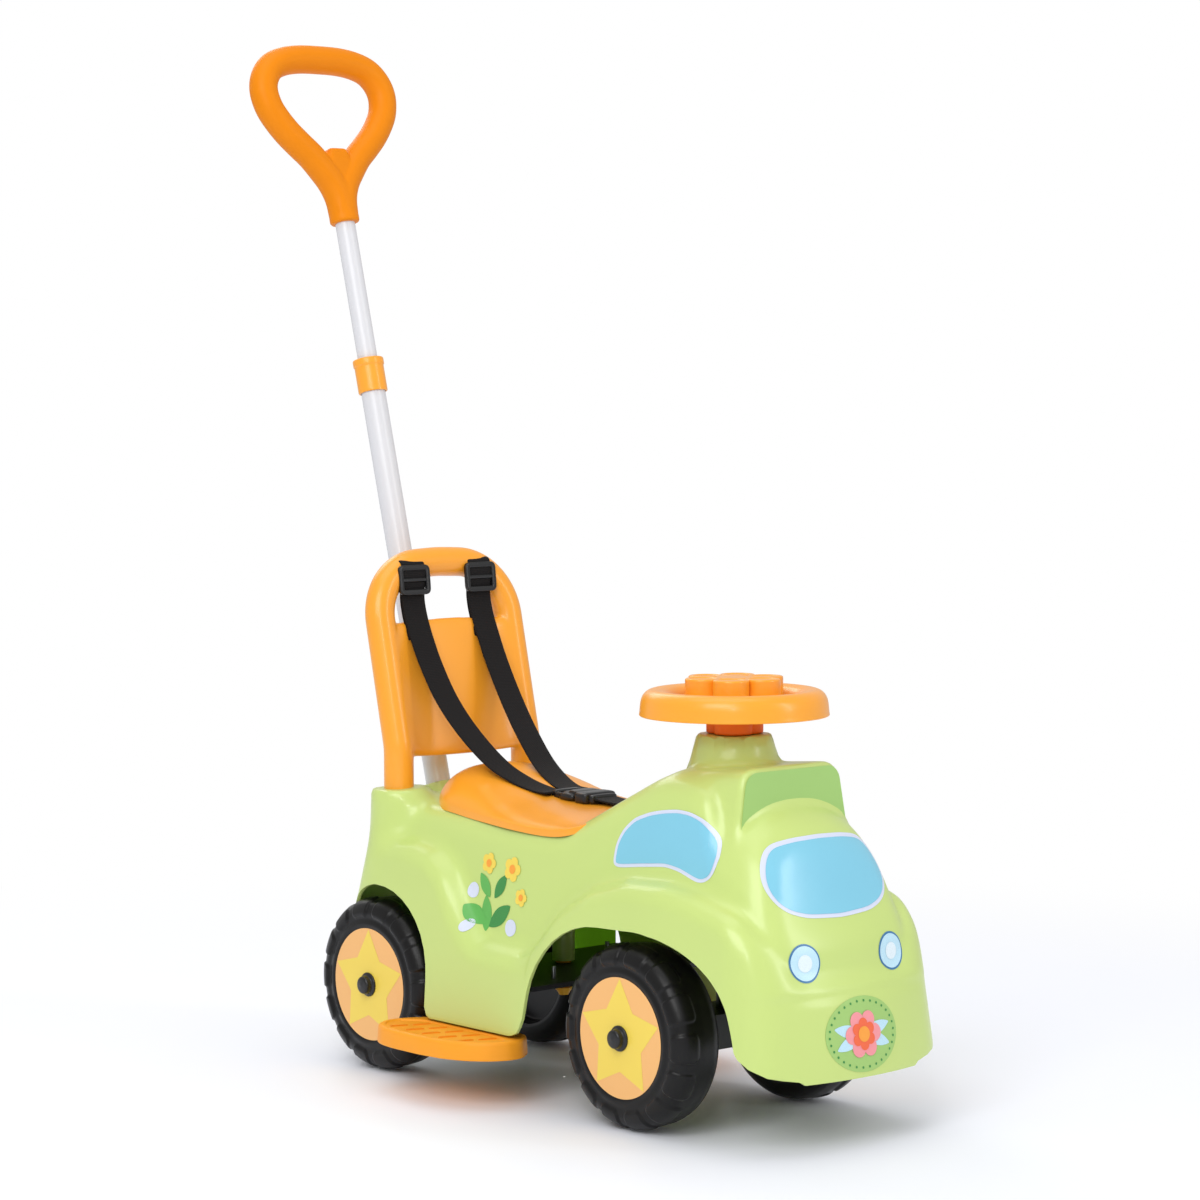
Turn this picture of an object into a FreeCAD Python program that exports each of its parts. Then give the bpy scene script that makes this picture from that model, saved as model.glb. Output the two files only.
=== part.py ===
import FreeCAD, Part
import os
import re
import Sketcher

# Toddler push car with telescopic parent handle.
# Frame: +X forward, +Y to the rider's left, +Z up, floor at Z = 0,
# X = 0 half way between the nose and the back of the push grip. Millimetres.

V = FreeCAD.Vector
doc = FreeCAD.newDocument("push_car")

SIZES = [
    # running gear
    ("wheel_dia", 150.0),
    ("tyre_width", 48.0),
    ("track_half", 85.0),
    ("front_axle_x", 198.0),
    ("rear_axle_x", -132.0),
    ("axle_dia", 10.0),
    ("run_gap", 0.05),
    ("side_gap", 0.4),
    ("seat_gap", 0.15),
    # body shell, lower half with the fenders
    ("wall", 3.0),
    ("body_half", 114.0),
    ("skirt_z", 57.0),
    ("step_z", 124.0),
    ("nose_x", 356.0),
    ("nose_flat_half", 38.0),
    ("nose_corner_x", 345.0),
    ("nose_corner_half", 109.0),
    ("nose_bend_x", 230.0),
    ("tail_x", -182.0),
    ("tail_half", 104.0),
    ("tail_bend_x", -120.0),
    ("wall_lean", 5.0),
    ("rear_crest_z", 200.0),
    ("crest_tail_x", -130.0),
    ("crest_tail_run", 40.0),
    ("crest_tail_drop", 77.0),
    ("rear_arc_x", -84.0),
    ("rear_arc_r", 56.0),
    ("crest_x", 219.0),
    ("crest_r", 170.0),
    ("crest_centre_z", 29.5),
    ("rim_round", 9.0),
    # body shell, upper half with bonnet and windscreen
    ("belt_z", 118.0),
    ("upper_tail_x", -152.0),
    ("tail_top_z", 238.0),
    ("deck_top_z", 232.0),
    ("deck_z", 224.0),
    ("bonnet_foot_x", 93.0),
    ("bonnet_rear_x", 198.0),
    ("bonnet_front_x", 240.0),
    ("bonnet_z", 283.0),
    ("brow_foot_x", 300.0),
    ("brow_foot_z", 254.6),
    ("screen_slope", 0.379),
    ("chin_z", 146.0),
    ("ridge_z", 127.0),
    ("dip_half", 68.0),
    ("side_half", 75.0),
    ("side_at_x", 150.0),
    ("side_at_z", 255.0),
    ("side_lean", 7.0),
    ("side_taper", 1.5),
    ("shoulder_r", 30.0),
    # wheel arches
    ("steer_x", 214.5),
    ("arch_half", 116.0),
    ("arch_top_z", 162.0),
    ("arch_r", 84.0),
    ("rear_arch_x", -49.0),
    ("rear_arch_top_z", 165.0),
    ("rear_arch_r", 78.0),
    ("rear_lip_z", 138.0),
    ("apron_half", 56.0),
    ("apron_z", 92.0),
    ("skirt_round", 12.0),
    ("nose_round", 30.0),
    # turret and brow
    ("turret_base_r", 38.0),
    ("turret_top_r", 28.0),
    ("turret_base_z", 280.0),
    ("turret_top_z", 311.0),
    ("brow_x", 292.0),
    ("brow_back_x", 200.0),
    ("brow_top_z", 289.0),
    ("brow_low_z", 240.0),
    ("brow_top_half", 43.0),
    ("brow_low_half", 61.0),
    ("brow_round", 8.0),
    # backrest and its sockets in the body
    ("post_x", -128.4),
    ("post_half", 71.0),
    ("post_dia", 26.0),
    ("socket_z", 242.0),
    ("socket_dia", 48.0),
    ("socket_len", 60.0),
    ("post_plug", 42.0),
    ("knee_up", 36.0),
    ("back_lean", 12.8),
    ("rail_up", 195.8),
    ("rail_bend", 47.0),
    ("panel_low", 28.0),
    ("panel_high", 143.6),
    ("panel_half", 64.0),
    ("panel_thick", 9.0),
    ("panel_bulge", 6.0),
    # push handle, measured along the tube from where it meets the body
    ("tube_x", -176.05),
    ("tube_z", 254.0),
    ("tube_lean", 14.8),
    ("tube_dia", 22.0),
    ("slim_dia", 18.0),
    ("tube_low", 155.0),
    ("tube_high", 354.0),
    ("slim_low", 292.0),
    ("slim_high", 545.0),
    ("collar_dia", 27.0),
    ("collar_low", 341.0),
    ("collar_high", 372.0),
    ("grip_low", 499.5),
    ("grip_neck", 545.0),
    ("grip_high", 655.5),
    ("grip_bend", 33.5),
    ("grip_bar", 25.0),
    ("grip_neck_dia", 27.0),
    ("tube_boss_dia", 36.0),
    ("tube_boss_top", 8.0),
    ("tube_boss_len", 104.0),
    # seat
    ("seat_rear_x", -128.0),
    ("seat_front_x", 137.0),
    ("seat_half", 80.0),
    ("seat_rear_half", 40.0),
    ("seat_front_half", 44.0),
    ("seat_hump_z", 252.0),
    ("seat_mid_z", 238.5),
    ("seat_tip_thick", 5.5),
    ("seat_round", 9.0),
    ("seat_play", 0.4),
    ("plug_dia", 11.0),
    ("plug_barb_dia", 15.0),
    ("plug_low_z", 71.0),
    # floor tray, footrests and axle mountings
    ("tray_z", 95.0),
    ("tray_thick", 4.0),
    ("tray_rear_x", -46.0),
    ("tray_front_x", 78.0),
    ("tray_half", 100.0),
    ("foot_thick", 13.0),
    ("foot_rear_x", -66.0),
    ("foot_front_x", 96.0),
    ("foot_out", 155.0),
    ("foot_in", 80.0),
    ("foot_bolt_y", 92.0),
    ("pillar_dia", 14.0),
    ("pillar_y", 58.0),
    ("screw_dia", 4.0),
    ("screw_head", 8.0),
    ("rear_block_half", 50.0),
    ("rear_block_top", 96.0),
    ("front_block_half", 46.0),
    ("support_z", 166.0),
    ("support_thick", 6.0),
    ("support_half", 54.0),
    # steering
    ("shaft_dia", 12.0),
    ("rim_r", 76.5),
    ("rim_in_r", 50.0),
    ("rim_low_z", 326.0),
    ("rim_high_z", 348.0),
    ("stem_dia", 43.0),
    ("petal_r", 13.5),
    ("petal_ring_r", 23.0),
    ("hub_top_z", 358.0),
    # wheel details
    ("disc_r", 48.5),
    ("disc_thick", 1.0),
    ("hub_hole_dia", 20.0),
    ("cap_dia", 16.0),
    ("tread_drop", 2.5),
    # harness
    ("web_wide", 25.0),
    ("web_thick", 1.8),
    ("web_y", 37.0),
    ("web_yaw", 6.0),
    ("web_front", 15.5),
    ("web_stop", 4.0),
    ("slit_gap", 0.7),
    ("band_end_x", 0.0),
    ("buckle_x", 2.0),
    ("buckle_len", 54.0),
    ("buckle_half", 19.0),
    ("buckle_thick", 11.0),
]

sheet = doc.addObject("Spreadsheet::Sheet", "Sizes")
for row, (name, value) in enumerate(SIZES, 1):
    sheet.set("A%d" % row, name)
    sheet.set("B%d" % row, str(value))
    sheet.setAlias("B%d" % row, name)
doc.recompute()

NAMES = set(name for name, value in SIZES)


def ex(text):
    """Expression text with every sheet alias written as a sheet reference."""
    def swap(match):
        word = match.group(0)
        return "Sizes." + word if word in NAMES else word
    return re.sub(r"[A-Za-z_][A-Za-z0-9_]*", swap, str(text))


def val(text):
    """Number that an expression over the sheet gives now."""
    return float(sheet.evalExpression(ex(text)))


def new_body(label):
    body = doc.addObject("PartDesign::Body", label)
    body.Label = label
    return body


def origin(body, role):
    for item in body.Origin.OriginFeatures:
        if item.Role == role:
            return item


def pin(sk, geo, pos, u, v):
    """Hold one sketch point at two expressions."""
    for kind, axis, text in (("DistanceX", -2, u), ("DistanceY", -1, v)):
        if text == "0":
            sk.addConstraint(Sketcher.Constraint("PointOnObject", geo, pos, axis))
            continue
        at = sk.addConstraint(Sketcher.Constraint(kind, -1, 1, geo, pos, val(text)))
        sk.setExpression("Constraints[%d]" % at, ex(text))


def sketch(body, name, role, loop=(), circles=(), lift="0"):
    """Sketch on an origin plane moved along its normal by lift.

    A corner (u, v) is reached by a line, a corner (u, v, r, turn) by an arc
    of radius r that turns left (1) or right (-1). A circle is (u, v, r).
    """
    sk = body.newObject("Sketcher::SketchObject", name)
    sk.AttachmentSupport = (origin(body, role), [""])
    sk.MapMode = "FlatFace"
    if lift != "0":
        sk.setExpression("AttachmentOffset.Base.z", ex(lift))
    ends = []
    count = len(loop)
    for i in range(count):
        one = loop[i - 1]
        two = loop[i]
        p = V(val(one[0]), val(one[1]), 0)
        q = V(val(two[0]), val(two[1]), 0)
        if len(two) == 2:
            sk.addGeometry(Part.LineSegment(p, q), False)
            ends.append((1, 2))
            continue
        radius = val(two[2])
        chord = q - p
        rise = max(radius ** 2 - (chord.Length / 2) ** 2, 0.0) ** 0.5
        side = V(-chord.y, chord.x, 0).normalize() * two[3]
        centre = (p + q) * 0.5 + side * rise
        circle = Part.Circle(centre, V(0, 0, 1), radius)
        first, last = (p, q) if two[3] > 0 else (q, p)
        arc = Part.ArcOfCircle(circle, circle.parameter(first), circle.parameter(last))
        geo = sk.addGeometry(arc, False)
        at = sk.addConstraint(Sketcher.Constraint("Radius", geo, radius))
        sk.setExpression("Constraints[%d]" % at, ex(two[2]))
        ends.append((1, 2) if two[3] > 0 else (2, 1))
    for i in range(count):
        after = (i + 1) % count
        sk.addConstraint(Sketcher.Constraint("Coincident", i, ends[i][1], after, ends[after][0]))
        pin(sk, i, ends[i][1], loop[i][0], loop[i][1])
    for u, v, r in circles:
        geo = sk.addGeometry(Part.Circle(V(val(u), val(v), 0), V(0, 0, 1), val(r)), False)
        pin(sk, geo, 3, u, v)
        at = sk.addConstraint(Sketcher.Constraint("Radius", geo, val(r)))
        sk.setExpression("Constraints[%d]" % at, ex(r))
    doc.recompute()
    return sk


def pad(body, name, sk, length, both=False, flip=False, cut=False, lean=None):
    """Pad, or pocket when cut is set; both means equally to each side."""
    kind = "PartDesign::Pocket" if cut else "PartDesign::Pad"
    item = body.newObject(kind, name)
    item.Profile = sk
    item.setExpression("Length", ex(length))
    item.SideType = "Symmetric" if both else "One side"
    item.Reversed = flip
    if lean:
        item.setExpression("TaperAngle", ex(lean))
    doc.recompute()
    return item


def spin(body, name, sk, axis="V_Axis", cut=False):
    """Full revolution of a sketch about one of its own axes."""
    item = body.newObject("PartDesign::Groove" if cut else "PartDesign::Revolution", name)
    item.Profile = sk
    item.ReferenceAxis = (sk, [axis])
    item.Angle = 360.0
    doc.recompute()
    return item


def round_off(body, name, radius, chosen, kind="Fillet", size="Radius"):
    """Fillet, or chamfer, on the edges of the body's tip for which chosen(edge, shape) is true."""
    tip = body.Tip
    shape = tip.Shape
    names = ["Edge%d" % (i + 1) for i, e in enumerate(shape.Edges) if chosen(e, shape)]
    if not names:
        raise ValueError("no edges for " + name)
    item = body.newObject("PartDesign::" + kind, name)
    item.Base = (tip, names)
    item.setExpression(size, ex(radius))
    doc.recompute()
    return item


def corner_at(axes, *points):
    """Rule: straight edge running across the named two axes at one of the points."""
    def chosen(edge, shape):
        ends = [v.Point for v in edge.Vertexes]
        if len(ends) < 2:
            return False
        for u, v in points:
            near = [abs(getattr(p, axes[0]) - val(u)) + abs(getattr(p, axes[1]) - val(v)) < 0.6
                    for p in ends]
            if all(near):
                return True
        return False
    return chosen


def screen_x(z):
    """Place of the windscreen's slope at a height z."""
    return "brow_foot_x + (brow_foot_z - %s) * screen_slope" % z


def upper_half(tag, i, top, tail_top):
    """Bonnet, windscreen and deck: a side profile between two leaning planes."""
    body = new_body("upper_" + tag)
    chin_x = screen_x("chin_z") + " - 1.07 * (%s)" % i
    rise = "(bonnet_z - deck_top_z) / (bonnet_rear_x - bonnet_foot_x)"
    foot = "bonnet_foot_x - (deck_top_z - (%s) - (%s)) / (%s) + 0.5 * (%s)" % (i, top, rise, i)
    side = sketch(body, "upper_side_" + tag, "XZ_Plane", [
        ("upper_tail_x - 8 + (%s)" % i, "belt_z"),
        ("upper_tail_x + (%s)" % i, tail_top),
        (foot, top),
        ("bonnet_rear_x + 0.2 * (%s)" % i, "bonnet_z - (%s)" % i),
        ("bonnet_front_x - 0.2 * (%s)" % i, "bonnet_z - (%s)" % i),
        ("brow_foot_x - 0.8 * (%s)" % i, "brow_foot_z - 0.85 * (%s)" % i),
        (chin_x, "chin_z"),
        (chin_x + " - 20", "belt_z"),
    ])
    pad(body, "upper_pad_" + tag, side, "2.4 * body_half", both=True)
    across = {"tail": ("upper_tail_x + (%s)" % i, tail_top),
              "foot": (foot, top),
              "rear": ("bonnet_rear_x + 0.2 * (%s)" % i, "bonnet_z - (%s)" % i),
              "front": ("bonnet_front_x - 0.2 * (%s)" % i, "bonnet_z - (%s)" % i),
              "brow": ("brow_foot_x - 0.8 * (%s)" % i, "brow_foot_z - 0.85 * (%s)" % i)}
    bend = "1.5 * shoulder_r"
    round_off(body, "upper_bends_" + tag, bend, corner_at("xz", across["tail"], across["brow"]))
    round_off(body, "upper_waves_" + tag, "2.4 * shoulder_r",
              corner_at("xz", across["foot"], across["rear"], across["front"]))
    at = V(val("side_at_x"), 0, val("side_at_z"))
    for hand in (1, -1):
        box = body.newObject("PartDesign::SubtractiveBox", "upper_cut_%s_%d" % (tag, hand))
        box.setExpression("Length", ex("8 * body_half"))
        box.setExpression("Width", ex("2 * body_half"))
        box.setExpression("Height", ex("6 * body_half"))
        turn = FreeCAD.Rotation(-hand * val("side_taper"), 0, hand * val("side_lean"))
        base = FreeCAD.Placement(at + V(0, hand * val("side_half - (%s)" % i), 0), turn)
        corner = V(-val("4 * body_half"), 0 if hand > 0 else -val("2 * body_half"), -val("3 * body_half"))
        box.Placement = base.multiply(FreeCAD.Placement(corner, FreeCAD.Rotation()))
        doc.recompute()

    def shoulder(edge, shape):
        if edge.BoundBox.ZMax < val("belt_z") + 1:
            return False
        for face in shape.ancestorsOfType(edge, Part.Face):
            u0, u1, v0, v1 = face.ParameterRange
            if abs(face.normalAt((u0 + u1) / 2, (v0 + v1) / 2).y) > 0.9:
                return True
        return False
    round_off(body, "upper_shoulder_" + tag, "shoulder_r - (%s)" % i, shoulder)
    return body


def lower_half(tag, i, c, floor):
    """Skirt, bumper and fenders: a leaning plan profile cut down to the fender crest.

    The plan is drawn in by i and the crest lowered by c; the outer body, where
    both are nothing, also gets its crest rounded off.
    """
    body = new_body("lower_" + tag)
    right = [
        ("tail_x + (%s)" % i, "-(tail_half - (%s))" % i),
        ("tail_bend_x", "-(body_half - (%s))" % i),
        ("nose_bend_x", "-(body_half - (%s))" % i),
        ("nose_corner_x - (%s)" % i, "-(nose_corner_half - (%s))" % i),
        ("nose_x - (%s)" % i, "-nose_flat_half"),
    ]
    left = [(u, v[1:]) for u, v in reversed(right)]
    plan = sketch(body, "lower_plan_" + tag, "XY_Plane", right + left, lift=floor)
    pad(body, "lower_pad_" + tag, plan, "rear_crest_z - skirt_z + 30", lean="-wall_lean")

    def foot(*picks):
        spots = []
        for pick in picks:
            spots.append(V(val(right[pick][0]), val(right[pick][1]), val(floor)))
            spots.append(V(val(left[-1 - pick][0]), val(left[-1 - pick][1]), val(floor)))

        def chosen(edge, shape):
            if edge.BoundBox.ZLength < 5:
                return False
            return any((v.Point - s).Length < 0.6 for v in edge.Vertexes for s in spots)
        return chosen
    round_off(body, "lower_corner_" + tag, "1.3 * shoulder_r - (%s)" % i, foot(3))
    round_off(body, "lower_tail_" + tag, "shoulder_r - (%s)" % i, foot(0))
    round_off(body, "lower_bends_" + tag, "3.5 * shoulder_r - (%s)" % i, foot(1, 2, 4))
    high = "rear_crest_z + 120"
    top = "rear_crest_z - (%s)" % c
    step = "step_z - (%s)" % c
    step_x = "crest_x - sqrt((crest_r - (%s))^2 - (%s - crest_centre_z)^2)" % (c, step)
    end_x = "nose_x + 10"
    end_z = "crest_centre_z + sqrt((crest_r - (%s))^2 - (%s - crest_x)^2)" % (c, end_x)
    tail = "crest_tail_x + 0.6 * (%s)" % c
    down_x = "rear_arc_x + rear_arc_r - (%s)" % c
    crest = sketch(body, "crest_" + tag, "XZ_Plane", [
        (tail + " - 1.5 * crest_tail_run", high),
        (tail + " - 1.5 * crest_tail_run", top + " - 1.5 * crest_tail_drop"),
        (tail, top),
        ("rear_arc_x", top),
        (down_x, "rear_crest_z - rear_arc_r", "rear_arc_r - (%s)" % c, -1),
        (down_x, step),
        (step_x, step),
        (end_x, end_z, "crest_r - (%s)" % c, -1),
        ("nose_x + 60", end_z),
        ("nose_x + 60", high),
    ])
    pad(body, "crest_cut_" + tag, crest, "3 * body_half", both=True, cut=True)
    if tag != "outer":
        return body
    round_off(body, "crest_tail", "1.5 * shoulder_r", corner_at("xz", (tail, top)))
    round_off(body, "crest_heel", "0.3 * rear_arc_r", corner_at("xz", (down_x, step)))
    round_off(body, "crest_toe", "shoulder_r", corner_at("xz", (step_x, step)))

    def is_crest(face):
        kind = face.Surface.__class__.__name__
        if kind == "Cylinder":
            return abs(face.Surface.Axis.y) > 0.999
        if kind != "Plane":
            return False
        n = face.normalAt(0, 0)
        at_heel = abs(face.CenterOfMass.x - val(down_x)) < 1
        return abs(n.y) < 1e-6 and (n.z > 0.1 or at_heel)

    def rim(edge, shape):
        kinds = [is_crest(f) for f in shape.ancestorsOfType(edge, Part.Face)]
        return len(kinds) == 2 and kinds[0] != kinds[1] and edge.BoundBox.ZMin > val(floor) + 1
    round_off(body, "crest_rim", "rim_round", rim)
    back = " - 1.07 * (%s)" % i
    dip = sketch(body, "dip_" + tag, "XZ_Plane", [
        (screen_x("ridge_z") + back, "ridge_z - (%s)" % i),
        ("nose_x + 40", "ridge_z - (%s) - 4" % i),
        ("nose_x + 40", "rear_crest_z + 20"),
        (screen_x("(rear_crest_z + 20)") + back, "rear_crest_z + 20"),
    ])
    pad(body, "dip_cut_" + tag, dip, "2 * dip_half", both=True, cut=True)
    return body


def fused(label, *items):
    item = doc.addObject("Part::MultiFuse", label)
    item.Shapes = list(items)
    item.Refine = True
    doc.recompute()
    return item


def minus(label, base, *tools):
    """Cut the tools away one after the other; the last cut carries the label."""
    for count, tool in enumerate(tools, 1):
        name = label if count == len(tools) else "%s_cut%d" % (label, count)
        item = doc.addObject("Part::Cut", name)
        item.Base = base
        item.Tool = tool
        item.Refine = count == len(tools)
        doc.recompute()
        base = item
    return base


def place(item, x="0", y="0", z="0", turn=None):
    """Bind the base point of a placement; turn is an axis and an angle expression."""
    if turn:
        item.Placement = FreeCAD.Placement(V(), FreeCAD.Rotation(turn[0], val(turn[1])))
        item.setExpression("Placement.Rotation.Angle", ex(turn[1]))
    for axis, text in zip("xyz", (x, y, z)):
        item.setExpression("Placement.Base." + axis, ex(text))
    doc.recompute()
    return item


def cylinder(label, radius, height, **where):
    item = doc.addObject("Part::Cylinder", label)
    item.Label = label
    item.setExpression("Radius", ex(radius))
    item.setExpression("Height", ex(height))
    return place(item, **where)


def cone(label, low_r, high_r, height, **where):
    item = doc.addObject("Part::Cone", label)
    item.Label = label
    item.setExpression("Radius1", ex(low_r))
    item.setExpression("Radius2", ex(high_r))
    item.setExpression("Height", ex(height))
    return place(item, **where)


def box(label, x0, x1, y0, y1, z0, z1):
    item = doc.addObject("Part::Box", label)
    item.Label = label
    item.setExpression("Length", ex("(%s) - (%s)" % (x1, x0)))
    item.setExpression("Width", ex("(%s) - (%s)" % (y1, y0)))
    item.setExpression("Height", ex("(%s) - (%s)" % (z1, z0)))
    return place(item, x0, y0, z0)


def arch(label, outline):
    body = new_body(label)
    sk = sketch(body, label + "_side", "XZ_Plane", outline)
    pad(body, label + "_pad", sk, "3 * body_half", both=True)
    return body


def brow(tag, i):
    """Raised panel over the windscreen, rising from the turret to its front."""
    body = new_body("brow_" + tag)
    low = "(brow_low_half - (%s))" % i
    top = "(brow_top_half - (%s))" % i
    high = "(brow_top_z - (%s))" % i
    side = sketch(body, "brow_side_" + tag, "XZ_Plane", [
        ("brow_back_x", "brow_low_z - 20"),
        ("brow_x - (%s)" % i, "brow_low_z - 20"),
        ("brow_x - (%s)" % i, high),
        ("brow_back_x", high + " - brow_round"),
    ])
    pad(body, "brow_pad_" + tag, side, "2 * " + low, both=True)
    for hand in ("", "-"):
        flank = sketch(body, "brow_flank%s_%s" % (hand, tag), "YZ_Plane", [
            (hand + low, "brow_low_z"),
            (hand + "(%s + 30)" % low, "brow_low_z"),
            (hand + "(%s + 30)" % low, high + " + 30"),
            (hand + "(%s - 30 * (%s - %s) / (%s - brow_low_z))" % (top, low, top, high), high + " + 30"),
        ])
        pad(body, "brow_trim%s_%s" % (hand, tag), flank, "4 * nose_x", both=True, cut=True)

    def soft(edge, shape):
        b = edge.BoundBox
        if b.ZMax < val(high + " - 20"):
            return False
        return b.XMin > val("brow_x - (%s) - 1" % i) or b.XLength > val("brow_x - brow_back_x") / 2
    round_off(body, "brow_soft_" + tag, "brow_round - 0.8 * (%s)" % i, soft)
    return body


front_arch = arch("front_arch", [
    ("front_axle_x - arch_half - skirt_round", "0"),
    ("front_axle_x + arch_half + nose_round", "0"),
    ("front_axle_x + arch_half + nose_round", "skirt_z"),
    ("front_axle_x + arch_half", "skirt_z + nose_round", "nose_round", -1),
    ("front_axle_x + arch_half", "arch_top_z - arch_r + 20"),
    ("front_axle_x + arch_half - arch_r + 20", "arch_top_z", "arch_r - 20", 1),
    ("front_axle_x - arch_half + arch_r", "arch_top_z"),
    ("front_axle_x - arch_half", "arch_top_z - arch_r", "arch_r", 1),
    ("front_axle_x - arch_half", "skirt_z + skirt_round"),
    ("front_axle_x - arch_half - skirt_round", "skirt_z", "skirt_round", -1),
])
rear_arch = arch("rear_arch", [
    ("tail_x - 30", "0"),
    ("rear_arch_x + skirt_round", "0"),
    ("rear_arch_x + skirt_round", "skirt_z"),
    ("rear_arch_x", "skirt_z + skirt_round", "skirt_round", -1),
    ("rear_arch_x", "rear_arch_top_z - rear_arch_r"),
    ("rear_arch_x - rear_arch_r", "rear_arch_top_z", "rear_arch_r", 1),
    ("tail_x", "rear_lip_z"),
    ("tail_x - 30", "rear_lip_z - 10"),
])
outer = fused("shell_outer", upper_half("outer", "0", "deck_top_z", "tail_top_z"),
              lower_half("outer", "0", "0", "skirt_z"), brow("outer", "0"),
              cone("turret_outer", "turret_base_r", "turret_top_r", "turret_top_z - turret_base_z + 10",
                   x="steer_x", z="turret_base_z - 10"))
shell = minus("shell_walls", outer, upper_half("inner", "wall", "deck_z - wall", "deck_z - wall"),
              lower_half("inner", "wall + 1", "wall + 2", "skirt_z - 20"), brow("inner", "wall"),
              cone("turret_inner", "turret_base_r - wall", "turret_top_r - wall",
                   "turret_top_z - turret_base_z + 10 - 2 * wall",
                   x="steer_x", z="turret_base_z - 10"),
              front_arch, minus("rear_wells", rear_arch, box(
                  "tail_apron", "tail_x - 40", "upper_tail_x + 4", "-apron_half", "apron_half", "apron_z",
                  "2 * apron_z")))


# body shell: sockets for the backrest posts, boss for the tube, screw pillars
UP = V(0, 0, 1)
ACROSS = V(0, 1, 0)


def leaning(label, radius, low, high, x, y, z, lean):
    """Cylinder about an axis that leans back; low and high are lengths along it."""
    return cylinder(label, radius, "(%s) - (%s)" % (high, low),
                    x="%s - (%s) * sin(%s)" % (x, low, lean), y=y,
                    z="%s + (%s) * cos(%s)" % (z, low, lean), turn=(ACROSS, "-" + lean))


def pillar(label, x, y, low, high):
    return cylinder(label, "pillar_dia / 2", "(%s) - (%s)" % (high, low), x=x, y=y, z=low)


SIDES = (("right", "-"), ("left", ""))
TRAY_X = ("tray_rear_x + 36", "tray_front_x - 22")
SUPPORT_X = ("steer_x - 26", "steer_x + 26")
KNEE_X = "post_x - knee_up * sin(back_lean)"
KNEE_Z = "socket_z + knee_up * cos(back_lean)"
adds = [leaning("tube_boss", "tube_boss_dia / 2", "tube_boss_top - tube_boss_len - 16", "-tube_boss_top",
                "tube_x", "0", "tube_z", "tube_lean"),
        box("tube_rib", "tube_x + 4", "post_x + 16", "-tube_boss_dia / 2.4", "tube_boss_dia / 2.4",
            "rear_arch_top_z + 10", "deck_top_z + 2")]
bores = [leaning("tube_hole", "tube_dia / 2 + run_gap", "-tube_low", "30",
                 "tube_x", "0", "tube_z", "tube_lean")]
for side, sign in SIDES:
    adds.append(cylinder("post_socket_" + side, "socket_dia / 2", "socket_len", x=KNEE_X,
                         y=sign + "post_half", z="socket_z - socket_len"))
    bores.append(cylinder("post_hole_" + side, "post_dia / 2 + seat_gap", "post_plug + 20", x=KNEE_X,
                          y=sign + "post_half", z="socket_z - post_plug - seat_gap"))
    for count, x in enumerate(TRAY_X):
        adds.append(pillar("tray_pillar_%s%d" % (side, count), x, sign + "pillar_y",
                           "tray_z + tray_thick", "deck_z - 0.5 * wall"))
        bores.append(cylinder("tray_pilot_%s%d" % (side, count), "screw_dia / 2 + run_gap", "16",
                              x=x, y=sign + "pillar_y", z="tray_z + tray_thick - 1"))
    adds.append(pillar("rear_pillar_" + side, "rear_axle_x", sign + "38",
                       "rear_block_top", "deck_z - 0.5 * wall"))
    bores.append(cylinder("rear_pilot_" + side, "screw_dia / 2 + run_gap", "16",
                          x="rear_axle_x", y=sign + "38", z="rear_block_top - 1"))
    for count, x in enumerate(SUPPORT_X):
        adds.append(pillar("nose_pillar_%s%d" % (side, count), x, sign + "40",
                           "support_z + support_thick", "bonnet_z - 0.75 * wall"))
        bores.append(cylinder("nose_pilot_%s%d" % (side, count), "screw_dia / 2 + run_gap", "16",
                              x=x, y=sign + "40", z="support_z + support_thick - 1"))
bores.append(cylinder("bush_hole", "shaft_dia / 2 + 4", "4 * wall", x="steer_x", z="turret_top_z - 3 * wall"))
bores.append(cylinder("plug_hole", "plug_dia / 2 + seat_play", "6 * wall", z="deck_z - 5 * wall"))


def slope_z(x):
    """Height of the bonnet's rear slope over a place x."""
    return ("deck_top_z + (%s - bonnet_foot_x) * (bonnet_z - deck_top_z) / (bonnet_rear_x - bonnet_foot_x)"
            % x)


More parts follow.
